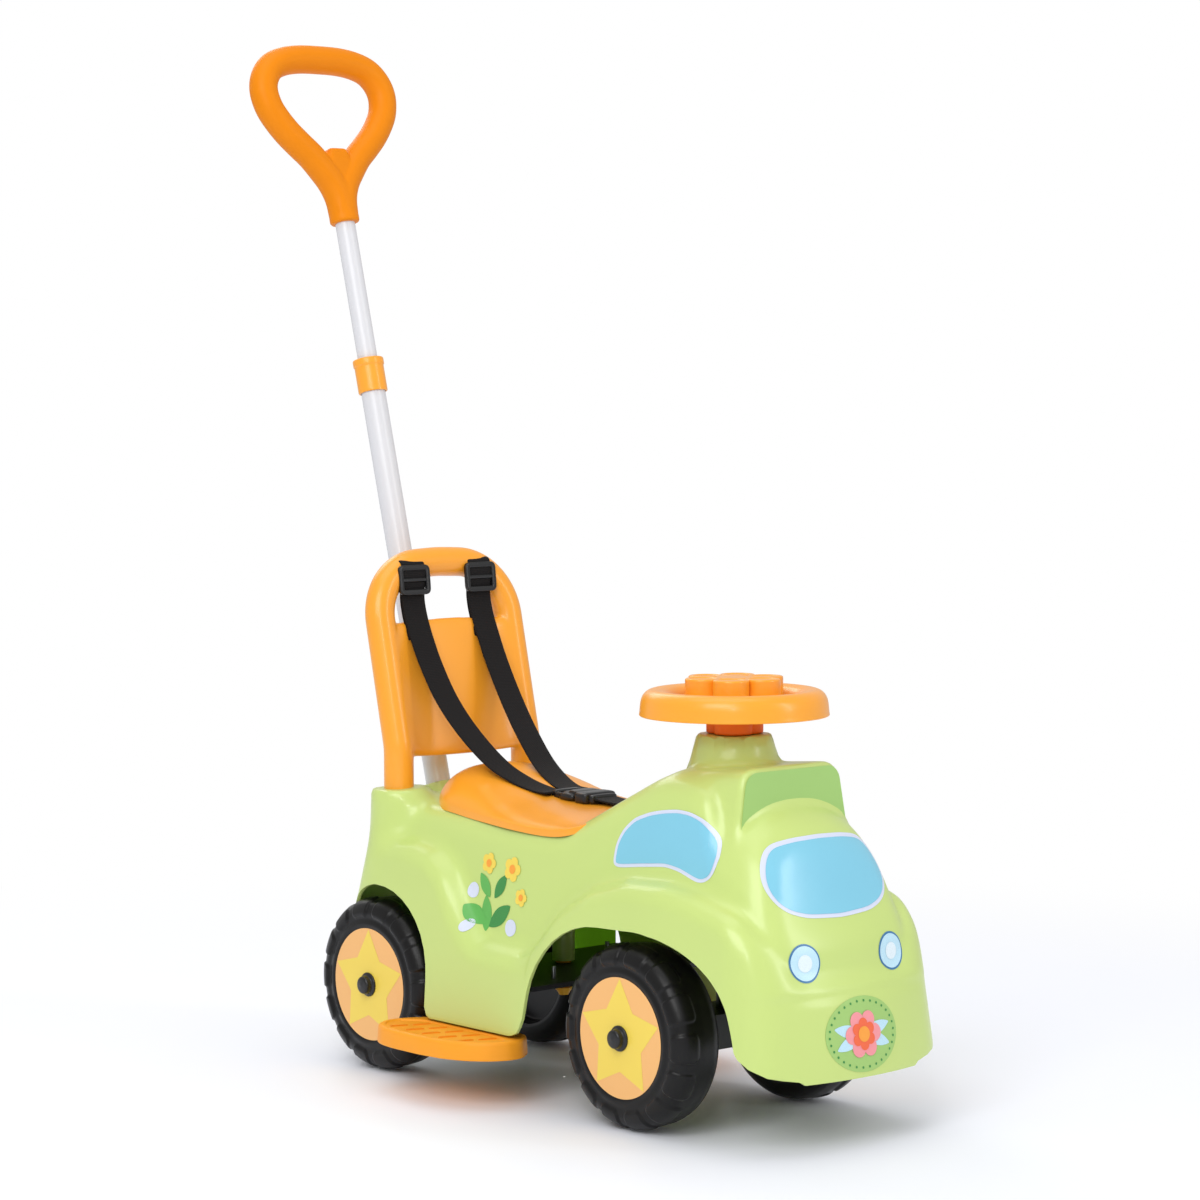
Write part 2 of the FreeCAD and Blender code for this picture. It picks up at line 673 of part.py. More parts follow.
def seat_solid(label, grow, dressed):
    """Saddle: a plan outline between the deck below and a humped line above.

    The dressed one is the seat; the plain one, drawn out by grow, is its bed in the body.
    """
    body = new_body(label)
    half = [
        ("seat_rear_x - (%s)" % grow, "seat_rear_half + (%s)" % grow),
        ("seat_rear_x + 34 - (%s)" % grow, "seat_rear_half + 12 + (%s)" % grow),
        ("seat_rear_x + 78", "seat_half + (%s)" % grow),
        ("bonnet_foot_x + 6", "seat_half + (%s)" % grow),
        ("seat_front_x - 8", "seat_half - 13 + (%s)" % grow),
        ("seat_front_x + (%s)" % grow, "seat_front_half + (%s)" % grow),
    ]
    outline = [(u, "-(%s)" % v) for u, v in half] + list(reversed(half))
    plan = sketch(body, label + "_plan", "XY_Plane", outline, lift="deck_z")
    pad(body, label + "_pad", plan, "60")
    bend_x = "bonnet_foot_x - 24"
    tip_z = slope_z("seat_front_x") + " - 1.4"
    far_z = "%s + 20 * (%s - deck_z) / (seat_front_x - (%s))" % (tip_z, tip_z, bend_x)
    under = sketch(body, label + "_under", "XZ_Plane", [
        (bend_x, "deck_z"),
        ("seat_front_x + 20", "deck_z"),
        ("seat_front_x + 20", far_z),
    ])
    pad(body, label + "_under_cut", under, "4 * seat_half", both=True, cut=True)
    spots = [V(val(u), val(v), 0) for u, v in outline]

    def upright(edge, shape):
        b = edge.BoundBox
        if b.ZLength < 4 or b.XLength + b.YLength > 1e-3:
            return False
        return any(abs(b.XMin - p.x) + abs(b.YMin - p.y) < 0.5 for p in spots)
    round_off(body, label + "_corners", "1.4 * seat_round", upright)
    if not dressed:
        return body
    above = sketch(body, label + "_above", "XZ_Plane", [
        ("seat_rear_x - 10", "seat_hump_z - 8"),
        ("seat_rear_x + 14", "seat_hump_z"),
        ("seat_rear_x + 96", "seat_mid_z"),
        ("bonnet_foot_x - 28", "seat_mid_z"),
        ("seat_front_x + 10", slope_z("(seat_front_x + 10)") + " + seat_tip_thick"),
        ("seat_front_x + 10", "deck_z + 80"),
        ("seat_rear_x - 10", "deck_z + 80"),
    ])
    pad(body, label + "_above_cut", above, "4 * seat_half", both=True, cut=True)
    round_off(body, label + "_wave", "60", corner_at(
        "xz", ("seat_rear_x + 96", "seat_mid_z"), ("bonnet_foot_x - 28", "seat_mid_z")))
    round_off(body, label + "_hump", "22", corner_at("xz", ("seat_rear_x + 14", "seat_hump_z")))

    def lip(edge, shape):
        faces = shape.ancestorsOfType(edge, Part.Face)
        ups = []
        for face in faces:
            u0, u1, v0, v1 = face.ParameterRange
            ups.append(face.normalAt((u0 + u1) / 2, (v0 + v1) / 2).z)
        return len(ups) == 2 and max(ups) > 0.5 and abs(min(ups)) < 0.1
    round_off(body, label + "_lip", "0.5 * seat_round", lip)
    return body


seat = seat_solid("seat", "0", True)
seat_bed = seat_solid("seat_bed", "seat_play", False)
body_shell = minus("body_shell", fused("shell_bosses", shell, *adds), fused("shell_bores", *bores), seat_bed)
body_shell.Label = "body_shell"


def ring(label, outline, x="0", y="0", z="0", turn=None, role="XZ_Plane", axis="V_Axis"):
    """Turned part: outline of (radius, height) pairs spun about the plane's own axis."""
    body = new_body(label)
    spin(body, label + "_spin", sketch(body, label + "_section", role, outline), axis)
    return place(body, x, y, z, turn)


def group(label, *items):
    """Like pieces kept as separate solids under one name."""
    item = doc.addObject("Part::Compound", label)
    item.Label = label
    item.Links = list(items)
    doc.recompute()
    return item


def tube_place(item):
    """Put a part drawn about the handle's own axis onto the leaning handle."""
    return place(item, "tube_x", "0", "tube_z", (ACROSS, "-tube_lean"))


def back_place(item):
    """Put a part drawn in the backrest's own plane onto the leaning backrest."""
    return place(item, "post_x", "0", "socket_z", (ACROSS, "-back_lean"))


def bent_bar(body, name, top, bend, side, low, end, bar):
    """Bar of round section: half of a loop swept from its top middle, then mirrored.

    The half runs out along the top, round one bend and on to its end; side is
    where the bend meets the straight leg, end where the leg stops.
    """
    path = body.newObject("Sketcher::SketchObject", name + "_path")
    path.AttachmentSupport = (origin(body, "YZ_Plane"), [""])
    path.MapMode = "FlatFace"
    start = V(0, val(top), 0)
    turn = V(val(bend[0]), val(top), 0)
    meet = V(val(side), val(low), 0)
    stop = V(val(end[0]), val(end[1]), 0)
    radius = val(bend[1])
    circle = Part.Circle(V(turn.x, turn.y - radius, 0), UP, radius)
    path.addGeometry(Part.LineSegment(start, turn), False)
    path.addGeometry(Part.ArcOfCircle(circle, circle.parameter(meet), circle.parameter(turn)), False)
    path.addGeometry(Part.LineSegment(meet, stop), False)
    path.addConstraint(Sketcher.Constraint("Coincident", 0, 2, 1, 2))
    path.addConstraint(Sketcher.Constraint("Coincident", 1, 1, 2, 1))
    pin(path, 0, 1, "0", top)
    pin(path, 0, 2, bend[0], top)
    at = path.addConstraint(Sketcher.Constraint("Radius", 1, radius))
    path.setExpression("Constraints[%d]" % at, ex(bend[1]))
    pin(path, 2, 1, side, low)
    pin(path, 2, 2, end[0], end[1])
    doc.recompute()
    section = sketch(body, name + "_section", "XZ_Plane", circles=[("0", top, bar)])
    pipe = body.newObject("PartDesign::AdditivePipe", name + "_pipe")
    pipe.Profile = section
    pipe.Spine = path
    doc.recompute()
    other = body.newObject("PartDesign::Mirrored", name + "_mirror")
    other.Originals = [pipe]
    other.MirrorPlane = (origin(body, "XZ_Plane"), [""])
    body.Tip = other
    doc.recompute()
    return other


# backrest: one moulding of bent rail, bulged panel and two posts that stand upright at the foot
back_frame = new_body("back_frame")
bent_bar(back_frame, "rail", "rail_up", ("post_half - rail_bend", "rail_bend"), "post_half",
         "rail_up - rail_bend", ("post_half", "knee_up"), "post_dia / 2")
panel_plan = sketch(back_frame, "panel_plan", "XY_Plane", [
    ("-panel_thick / 2", "-panel_half"),
    ("panel_thick / 2", "-panel_half"),
    ("panel_thick / 2", "panel_half", "(panel_half^2 + panel_bulge^2) / (2 * panel_bulge)", 1),
    ("-panel_thick / 2", "panel_half"),
], lift="panel_low")
pad(back_frame, "panel", panel_plan, "panel_high - panel_low")


def panel_rim(edge, shape):
    ends = (val("panel_low"), val("panel_high"))
    level = min(abs(edge.CenterOfMass.z - end) for end in ends) < 0.05
    return level and edge.Length > val("panel_half")


round_off(back_frame, "panel_soft", "0.4 * panel_thick", panel_rim)

# one slit through the rail for each shoulder strap
RAIL_W = "(rail_up - rail_bend + sqrt(rail_bend^2 - (web_y - post_half + rail_bend)^2))"
RAIL_X = "post_x - %s * sin(back_lean)" % RAIL_W
RAIL_Z = "socket_z + %s * cos(back_lean)" % RAIL_W
SLIT_HALF = "(web_wide / 2 + post_dia / 2 * tan(web_yaw) + slit_gap)"
for side, sign in SIDES:
    low, high = (RAIL_W + hand + "(web_thick / 2 + slit_gap)" for hand in (" - ", " + "))
    near, far = (sign + "(web_y" + hand + SLIT_HALF + ")" for hand in (" - ", " + "))
    slit = sketch(back_frame, "slit_plan_" + side, "YZ_Plane", [
        (near, low), (far, low), (far, high), (near, high),
    ])
    pad(back_frame, "slit_" + side, slit, "4 * post_dia", both=True, cut=True)
back_place(back_frame)
back_pieces = [back_frame]
for side, sign in SIDES:
    back_pieces.append(cylinder("post_foot_" + side, "post_dia / 2", "post_plug + knee_up * cos(back_lean)",
                                x=KNEE_X, y=sign + "post_half", z="socket_z - post_plug"))
    knee = doc.addObject("Part::Sphere", "knee_" + side)
    knee.setExpression("Radius", ex("post_dia / 2"))
    back_pieces.append(place(knee, KNEE_X, sign + "post_half", KNEE_Z))
backrest = fused("backrest", *back_pieces)

# push handle
push_tube_lower = tube_place(ring("push_tube_lower", [
    ("slim_dia / 2 + run_gap", "-tube_low + seat_gap"),
    ("tube_dia / 2", "-tube_low + seat_gap"),
    ("tube_dia / 2", "tube_high"),
    ("slim_dia / 2 + run_gap", "tube_high"),
]))
push_tube_upper = tube_place(ring("push_tube_upper", [
    ("slim_dia / 2 - 1.5", "slim_low"),
    ("slim_dia / 2", "slim_low"),
    ("slim_dia / 2", "slim_high"),
    ("slim_dia / 2 - 1.5", "slim_high"),
]))
tube_collar = tube_place(ring("tube_collar", [
    ("tube_dia / 2 + run_gap", "collar_low"),
    ("collar_dia / 2 - 1", "collar_low"),
    ("collar_dia / 2", "collar_low + 2"),
    ("collar_dia / 2", "collar_high - 3"),
    ("collar_dia / 2 - 2", "collar_high"),
    ("slim_dia / 2 + run_gap", "collar_high"),
    ("slim_dia / 2 + run_gap", "tube_high + seat_gap"),
    ("tube_dia / 2 + run_gap", "tube_high + seat_gap"),
]))
push_grip = new_body("push_grip")
REACH = "sqrt(grip_bend^2 + (grip_high - grip_bend - grip_neck)^2)"
LEG = "atan((grip_high - grip_bend - grip_neck) / grip_bend) - asin(grip_bend / %s)" % REACH
SHANK = "sqrt((%s)^2 - grip_bend^2)" % REACH
bent_bar(push_grip, "loop", "grip_high", ("grip_bend", "grip_bend"),
         "%s * cos(%s)" % (SHANK, LEG), "grip_neck + %s * sin(%s)" % (SHANK, LEG),
         ("0", "grip_neck"), "grip_bar / 2")
spin(push_grip, "neck", sketch(push_grip, "neck_section", "XZ_Plane", [
    ("0", "grip_low"),
    ("grip_neck_dia / 2 + 1", "grip_low"),
    ("grip_neck_dia / 2", "grip_low + 14"),
    ("grip_neck_dia / 2", "grip_neck + 4"),
    ("0.3 * grip_neck_dia", "grip_neck + 16"),
    ("0", "grip_neck + 16"),
]))
spin(push_grip, "neck_bore", sketch(push_grip, "neck_bore_section", "XZ_Plane", [
    ("0", "grip_low - 5"),
    ("slim_dia / 2 + run_gap", "grip_low - 5"),
    ("slim_dia / 2 + run_gap", "slim_high + seat_gap"),
    ("0", "slim_high + seat_gap"),
]), cut=True)
tube_place(push_grip)

# wheels, in their own frames: the axle along Y, the outer face towards -Y
HALF = "tyre_width / 2"
BORE = "axle_dia / 2 + run_gap"
TREAD = "wheel_dia / 2 - tread_drop"


def wheel(label, x, y, turn):
    """Hollow-backed wheel with a ring of blocks on each tread shoulder."""
    body = new_body(label)
    spin(body, label + "_core", sketch(body, label + "_section", "YZ_Plane", [
        ("8 - " + HALF, BORE),
        ("8 - " + HALF, "hub_hole_dia / 2"),
        ("disc_thick + 0.2 - " + HALF, "hub_hole_dia / 2"),
        ("disc_thick + 0.2 - " + HALF, "disc_r + 0.3"),
        ("-" + HALF, "disc_r + 0.3"),
        ("-" + HALF, "0.4 * wheel_dia"),
        ("6 - " + HALF, TREAD + " - 3"),
        ("11 - " + HALF, TREAD),
        (HALF + " - 11", TREAD),
        (HALF + " - 6", TREAD + " - 3"),
        (HALF, "0.4 * wheel_dia"),
        (HALF, "0.37 * wheel_dia"),
        ("16 - " + HALF, "0.37 * wheel_dia"),
        ("16 - " + HALF, "axle_dia / 2 + 8"),
        (HALF, "axle_dia / 2 + 8"),
        (HALF, BORE),
    ]), "H_Axis")
    blocks = []
    for name, hand in (("out", "-"), ("in", "")):
        profile = sketch(body, "%s_block_%s" % (label, name), "YZ_Plane", [
            (hand + "(%s - 2.5)" % HALF, "0.41 * wheel_dia"),
            (hand + "(%s - 2.5)" % HALF, "0.45 * wheel_dia"),
            (hand + "(%s - 8)" % HALF, "wheel_dia / 2 - 1"),
            (hand + "(%s - 10)" % HALF, "wheel_dia / 2"),
            (hand + "4.5", "wheel_dia / 2"),
            (hand + "4", TREAD + " - 1"),
        ])
        block = body.newObject("PartDesign::Revolution", "%s_%s" % (label, name))
        block.Profile = profile
        block.ReferenceAxis = (profile, ["H_Axis"])
        block.Angle = 23.0
        block.Midplane = True
        doc.recompute()
        blocks.append(block)
    around = body.newObject("PartDesign::PolarPattern", label + "_blocks")
    around.Originals = blocks
    around.Axis = (origin(body, "Y_Axis"), [""])
    around.Angle = 360.0
    around.Occurrences = 12
    body.Tip = around
    doc.recompute()
    return place(body, x, y, "wheel_dia / 2", turn)


def turned_y(label, outline, x, y, turn):
    return ring(label, outline, x, y, "wheel_dia / 2", turn, "YZ_Plane", "H_Axis")


nodes = [body_shell, seat, backrest, push_tube_lower, push_tube_upper, tube_collar, push_grip]
ENDS = (("front", "front_axle_x", "front_block_half"), ("rear", "rear_axle_x", "rear_block_half"))
for end, x, block in ENDS:
    caps = []
    spacers = []
    for side, sign in SIDES:
        turn = (UP, "0" if side == "right" else "180")
        y = sign + "track_half"
        nodes.append(wheel("%s_wheel_%s" % (end, side), x, y, turn))
        nodes.append(turned_y("%s_disc_%s" % (end, side), [
            ("0.15 - " + HALF, "hub_hole_dia / 2 + 0.1"),
            ("0.15 - " + HALF, "disc_r"),
            ("0.15 + disc_thick - " + HALF, "disc_r"),
            ("0.15 + disc_thick - " + HALF, "hub_hole_dia / 2 + 0.1"),
        ], x, y, turn))
        caps.append(turned_y("%s_cap_%s" % (end, side), [
            ("8 - side_gap - " + HALF, BORE),
            ("8 - side_gap - " + HALF, "cap_dia / 2"),
            ("-6 - " + HALF, "cap_dia / 2"),
            ("-8.5 - " + HALF, "cap_dia / 2 - 3"),
            ("-8.5 - " + HALF, "0"),
            ("3 - seat_gap - " + HALF, "0"),
            ("3 - seat_gap - " + HALF, BORE),
        ], x, y, turn))
        spacers.append(turned_y("%s_spacer_%s" % (end, side), [
            (HALF + " + side_gap", BORE),
            (HALF + " + side_gap", "axle_dia / 2 + 4"),
            ("track_half - %s - seat_gap" % block, "axle_dia / 2 + 4"),
            ("track_half - %s - seat_gap" % block, BORE),
        ], x, y, turn))
    nodes.append(group(end + "_axle_caps", *caps))
    nodes.append(group(end + "_axle_spacers", *spacers))
    nodes.append(cylinder(end + "_axle", "axle_dia / 2", "2 * (track_half + tyre_width / 2 - 3)", x=x,
                          y="track_half + tyre_width / 2 - 3", z="wheel_dia / 2", turn=(V(1, 0, 0), "90")))


def axle_bore(label, x):
    return cylinder(label, BORE, "2 * track_half", x=x, y="track_half", z="wheel_dia / 2",
                    turn=(V(1, 0, 0), "90"))


def named(label, item):
    item.Label = label
    nodes.append(item)
    return item


def screw(label, x, y, z, length):
    """Pan-head screw driven upwards; z is the face its head bears on."""
    return ring(label, [
        ("0", "-0.35 * screw_head"),
        ("0.38 * screw_head", "-0.35 * screw_head"),
        ("screw_head / 2", "-0.12 * screw_head"),
        ("screw_head / 2", "-seat_gap"),
        ("screw_dia / 2", "-seat_gap"),
        ("screw_dia / 2", length),
        ("0", length),
    ], x, y, z)


def screw_set(label, spots, z, length):
    screws = [screw("%s_%d" % (label, i), x, y, z, length) for i, (x, y) in enumerate(spots)]
    nodes.append(group(label, *screws))


def through(label, x, y, z, length, radius="screw_dia / 2 + run_gap"):
    return cylinder(label, radius, length, x=x, y=y, z=z)


# rear axle block: carries the axle and the foot of the push tube
REAR_SPOTS = [("rear_axle_x", "-38"), ("rear_axle_x", "38")]
rear_cuts = [axle_bore("rear_bore", "rear_axle_x"),
             leaning("tube_seat", "tube_dia / 2 + run_gap", "-tube_low", "0", "tube_x", "0", "tube_z",
                     "tube_lean")]
for i, (x, y) in enumerate(REAR_SPOTS):
    rear_cuts.append(through("rear_screw_hole_%d" % i, x, y, "0", "200"))
    rear_cuts.append(through("rear_screw_well_%d" % i, x, y, "0", "rear_block_top - 8",
                             "screw_head / 2 + 0.4"))
named("rear_axle_block", minus("rear_block_cut", fused(
    "rear_block_blank",
    box("rear_block_box", "rear_axle_x - 17", "rear_axle_x + 17", "-rear_block_half", "rear_block_half",
        "wheel_dia / 2 - 14", "rear_block_top - seat_gap"),
    leaning("tube_cup", "tube_boss_dia / 2", "-tube_low - 8", "-tube_boss_len - 26", "tube_x", "0", "tube_z",
            "tube_lean")), *rear_cuts))
screw_set("rear_block_screws", REAR_SPOTS, "rear_block_top - 8", "20")

# steering: shaft, its two bearings, the front axle carrier and the wheel
SUPPORT_SPOTS = [(x, y) for x in SUPPORT_X for y in ("-40", "40")]
support_cuts = [through("support_bore", "steer_x", "0", "support_z - 20", "40", "shaft_dia / 2 + run_gap")]
for i, (x, y) in enumerate(SUPPORT_SPOTS):
    support_cuts.append(through("support_hole_%d" % i, x, y, "support_z - 20", "40"))
named("steering_support", minus("support_cut", fused(
    "support_blank",
    box("support_plate", "steer_x - 40", "steer_x + 40", "-support_half", "support_half", "support_z",
        "support_z + support_thick - seat_gap"),
    cylinder("support_boss", "shaft_dia / 2 + 8", "support_thick + 6", x="steer_x", z="support_z - 6")),
    *support_cuts))
screw_set("support_screws", SUPPORT_SPOTS, "support_z", "support_thick + 10")
nodes.append(ring("steering_bush", [
    ("shaft_dia / 2 + run_gap", "turret_top_z - 2 * wall - 2.5"),
    ("shaft_dia / 2 + 7", "turret_top_z - 2 * wall - 2.5"),
    ("shaft_dia / 2 + 7", "turret_top_z - 2 * wall - seat_gap"),
    ("shaft_dia / 2 + 4 - seat_gap", "turret_top_z - 2 * wall - seat_gap"),
    ("shaft_dia / 2 + 4 - seat_gap", "turret_top_z - seat_gap"),
    ("shaft_dia / 2 + run_gap", "turret_top_z - seat_gap"),
], "steer_x"))
nodes.append(ring("steering_shaft", [
    ("0", "wheel_dia / 2 - 9"),
    ("shaft_dia / 2", "wheel_dia / 2 - 9"),
    ("shaft_dia / 2", "rim_high_z - 4"),
    ("screw_dia / 2 + run_gap", "rim_high_z - 4"),
    ("screw_dia / 2 + run_gap", "rim_high_z - 24"),
    ("0", "rim_high_z - 24"),
], "steer_x"))
named("front_axle_carrier", minus("carrier_cut", fused(
    "carrier_blank",
    box("carrier_box", "front_axle_x - 15", "steer_x + 17", "-front_block_half", "front_block_half",
        "wheel_dia / 2 - 14", "wheel_dia / 2 + 14"),
    cylinder("carrier_post", "shaft_dia / 2 + 9", "support_z - 6 - side_gap - wheel_dia / 2", x="steer_x",
             z="wheel_dia / 2")),
    axle_bore("carrier_bore", "front_axle_x"),
    through("carrier_shaft_hole", "steer_x", "0", "wheel_dia / 2 - 9 - seat_gap", "200",
            "shaft_dia / 2 + run_gap")))
steering_wheel = new_body("steering_wheel")
pad(steering_wheel, "stem", sketch(steering_wheel, "stem_plan", "XY_Plane", circles=[
    ("0", "0", "stem_dia / 2")], lift="turret_top_z + side_gap"), "hub_top_z - 4 - turret_top_z - side_gap")
petal = pad(steering_wheel, "petal", sketch(steering_wheel, "petal_plan", "XY_Plane", circles=[
    ("petal_ring_r", "0", "petal_r")], lift="rim_low_z + 8"), "hub_top_z - rim_low_z - 8")
petals = steering_wheel.newObject("PartDesign::PolarPattern", "petals")
petals.Originals = [petal]
petals.Axis = (origin(steering_wheel, "Z_Axis"), [""])
petals.Angle = 360.0
petals.Occurrences = 6
steering_wheel.Tip = petals
doc.recompute()
spoke = pad(steering_wheel, "spoke", sketch(steering_wheel, "spoke_plan", "XY_Plane", [
    ("10", "-9"), ("rim_in_r + 4", "-12"), ("rim_in_r + 4", "12"), ("10", "9"),
], lift="rim_low_z + 8"), "6")
spokes = steering_wheel.newObject("PartDesign::PolarPattern", "spokes")
spokes.Originals = [spoke]
spokes.Axis = (origin(steering_wheel, "Z_Axis"), [""])
spokes.Angle = 360.0
spokes.Occurrences = 3
steering_wheel.Tip = spokes
doc.recompute()
spin(steering_wheel, "rim", sketch(steering_wheel, "rim_section", "XZ_Plane", [
    ("rim_r - 3", "rim_low_z"),
    ("rim_r", "rim_low_z"),
    ("rim_r", "rim_high_z - 8"),
    ("rim_r - 8", "rim_high_z", "8", 1),
    ("rim_in_r + 6", "rim_high_z"),
    ("rim_in_r", "rim_high_z - 6", "6", 1),
    ("rim_in_r", "rim_low_z + 6"),
    ("rim_in_r + 3", "rim_low_z + 6"),
    ("rim_in_r + 3", "rim_high_z - 5"),
    ("rim_r - 3", "rim_high_z - 5"),
]))
pad(steering_wheel, "shaft_hole", sketch(steering_wheel, "shaft_hole_plan", "XY_Plane", circles=[
    ("0", "0", "shaft_dia / 2 + run_gap")], lift="turret_top_z"), "rim_high_z - 4 + seat_gap - turret_top_z",
    cut=True, flip=True)
pad(steering_wheel, "screw_hole", sketch(steering_wheel, "screw_hole_plan", "XY_Plane", circles=[
    ("0", "0", "screw_dia / 2 + run_gap")], lift="rim_low_z"), "60", cut=True, flip=True)
nodes.append(place(steering_wheel, "steer_x"))
nodes.append(ring("steering_screw", [
    ("0", "rim_high_z - 22"),
    ("screw_dia / 2", "rim_high_z - 22"),
    ("screw_dia / 2", "hub_top_z - 4 + seat_gap"),
    ("screw_head / 2", "hub_top_z - 4 + seat_gap"),
    ("screw_head / 2", "hub_top_z - 3"),
    ("0.3 * screw_head", "hub_top_z - 1.5"),
    ("0", "hub_top_z - 1.5"),
], "steer_x"))

# floor tray under the deck, with the footrests screwed below it
TRAY_SPOTS = [(x, sign + "pillar_y") for x in TRAY_X for side, sign in SIDES]
FOOT_X = ("foot_rear_x + 56", "foot_front_x - 62")
FOOT_SPOTS = [(x, sign + "foot_bolt_y") for x in FOOT_X for side, sign in SIDES]
tray_adds = [box("tray_plate", "tray_rear_x", "tray_front_x", "-tray_half", "tray_half", "tray_z",
                 "tray_z + tray_thick - seat_gap")]
tray_cuts = [through("tray_plug_hole", "0", "0", "tray_z - 1", "2 * tray_thick", "plug_dia / 2 + seat_play")]
for i, (x, y) in enumerate(TRAY_SPOTS):
    tray_cuts.append(through("tray_hole_%d" % i, x, y, "tray_z - 1", "2 * tray_thick"))
for i, (x, y) in enumerate(FOOT_SPOTS):
    tray_adds.append(cylinder("tray_boss_%d" % i, "screw_head", "tray_z + 1 - skirt_z - seat_gap", x=x, y=y,
                              z="skirt_z + seat_gap"))
    tray_cuts.append(through("foot_pilot_%d" % i, x, y, "skirt_z - 1", "18"))
for i, y in enumerate(("-foot_bolt_y", "foot_bolt_y")):
    tray_adds.append(box("tray_web_%d" % i, FOOT_X[0], FOOT_X[1], y + " - 1.5", y + " + 1.5", "tray_z - 20",
                         "tray_z + 1"))
named("floor_tray", minus("tray_cut", fused("tray_blank", *tray_adds), *tray_cuts))
screw_set("tray_screws", TRAY_SPOTS, "tray_z", "tray_thick + 10")


def footrest(label, sign):
    """Step plate with a flared outer edge and a sunk tread of slanting ribs."""
    body = new_body(label)

    def at(x, y):
        return (x, sign + "(%s)" % y)
    outline = [
        at("foot_rear_x + 38", "foot_in"),
        at("foot_front_x - 50", "foot_in"),
        at("foot_front_x", "body_half"),
        at("foot_front_x - 3", "foot_out - 1.5"),
        at("foot_rear_x", "foot_out - 1.5"),
        at("foot_rear_x", "body_half"),
    ]
    plan = sketch(body, label + "_plan", "XY_Plane", outline, lift="skirt_z")
    pad(body, label + "_plate", plan, "foot_thick", flip=True, lean="6")
    reach = val("foot_out") - 8

    def upright(edge, shape):
        ends = [v.Point for v in edge.Vertexes]
        if len(ends) != 2 or abs(ends[0].z - ends[1].z) < 5:
            return False
        return min(abs(p.y) for p in ends) > reach
    round_off(body, label + "_ends", "30", upright)

    def upper(edge, shape):
        return all(abs(v.Point.z - val("skirt_z")) < 1e-3 for v in edge.Vertexes)
    round_off(body, label + "_rim", "1.8", upper, "Chamfer", "Size")
    tread = [
        at("foot_rear_x + 10", "body_half + 8"),
        at("foot_front_x - 10", "body_half + 8"),
        at("foot_front_x - 14", "foot_out - 18"),
        at("foot_front_x - 24", "foot_out - 8"),
        at("foot_rear_x + 24", "foot_out - 8"),
        at("foot_rear_x + 14", "foot_out - 18"),
    ]
    sunk = sketch(body, label + "_tread_plan", "XY_Plane", tread, lift="skirt_z")
    pad(body, label + "_tread", sunk, "2", cut=True)
    for i in range(6):
        x = "foot_rear_x + 34 + %d * 14" % i
        rib = sketch(body, "%s_rib%d_plan" % (label, i), "XY_Plane", [
            at(x, "body_half + 13"),
            at(x + " + 4", "body_half + 13"),
            at(x + " + 14", "foot_out - 13"),
            at(x + " + 10", "foot_out - 13"),
        ], lift="skirt_z - 3")
        pad(body, "%s_rib%d" % (label, i), rib, "2.6")
    for i, x in enumerate(FOOT_X):
        spot = [(x, sign + "foot_bolt_y", "screw_dia / 2 + run_gap")]
        well = [(x, sign + "foot_bolt_y", "screw_head / 2 + 0.4")]
        hole = sketch(body, "%s_hole%d_plan" % (label, i), "XY_Plane", circles=spot, lift="skirt_z")
        pad(body, "%s_hole%d" % (label, i), hole, "2 * foot_thick", cut=True)
        sink = sketch(body, "%s_well%d_plan" % (label, i), "XY_Plane", circles=well, lift="skirt_z - 6")
        pad(body, "%s_well%d" % (label, i), sink, "foot_thick", cut=True)
    nodes.append(body)


for side, sign in SIDES:
    footrest("footrest_" + side, sign)
screw_set("footrest_screws", FOOT_SPOTS, "skirt_z - 6", "6 + 12")

# barbed plug that holds the seat down through the deck and the tray
barbs = [("0", "plug_low_z")]
for i in range(3):
    low = "plug_low_z + %d * (tray_z - plug_low_z) / 3" % i
    barbs.append(("0.8 * plug_dia / 2", low))
    barbs.append(("plug_barb_dia / 2", low + " + (tray_z - plug_low_z) / 3 - 1.5"))
    barbs.append(("plug_dia / 2", low + " + (tray_z - plug_low_z) / 3 - seat_gap"))
barbs += [("plug_dia / 2", "deck_z - seat_gap"), ("0", "deck_z - seat_gap")]
nodes.append(ring("seat_plug", barbs))

# harness: each strap comes through a slit in the back rail and runs down to the buckle
BAND_LEN = "((band_end_x - (%s)) / cos(web_yaw))" % RAIL_X
DROP = "(%s - seat_mid_z - 1.2)" % RAIL_Z
SLIT_RISE = "tan(back_lean)"


def strap_place(item, side, sign):
    yaw = "web_yaw" if side == "right" else "-web_yaw"
    return place(item, RAIL_X, sign + "web_y", RAIL_Z, (UP, yaw))


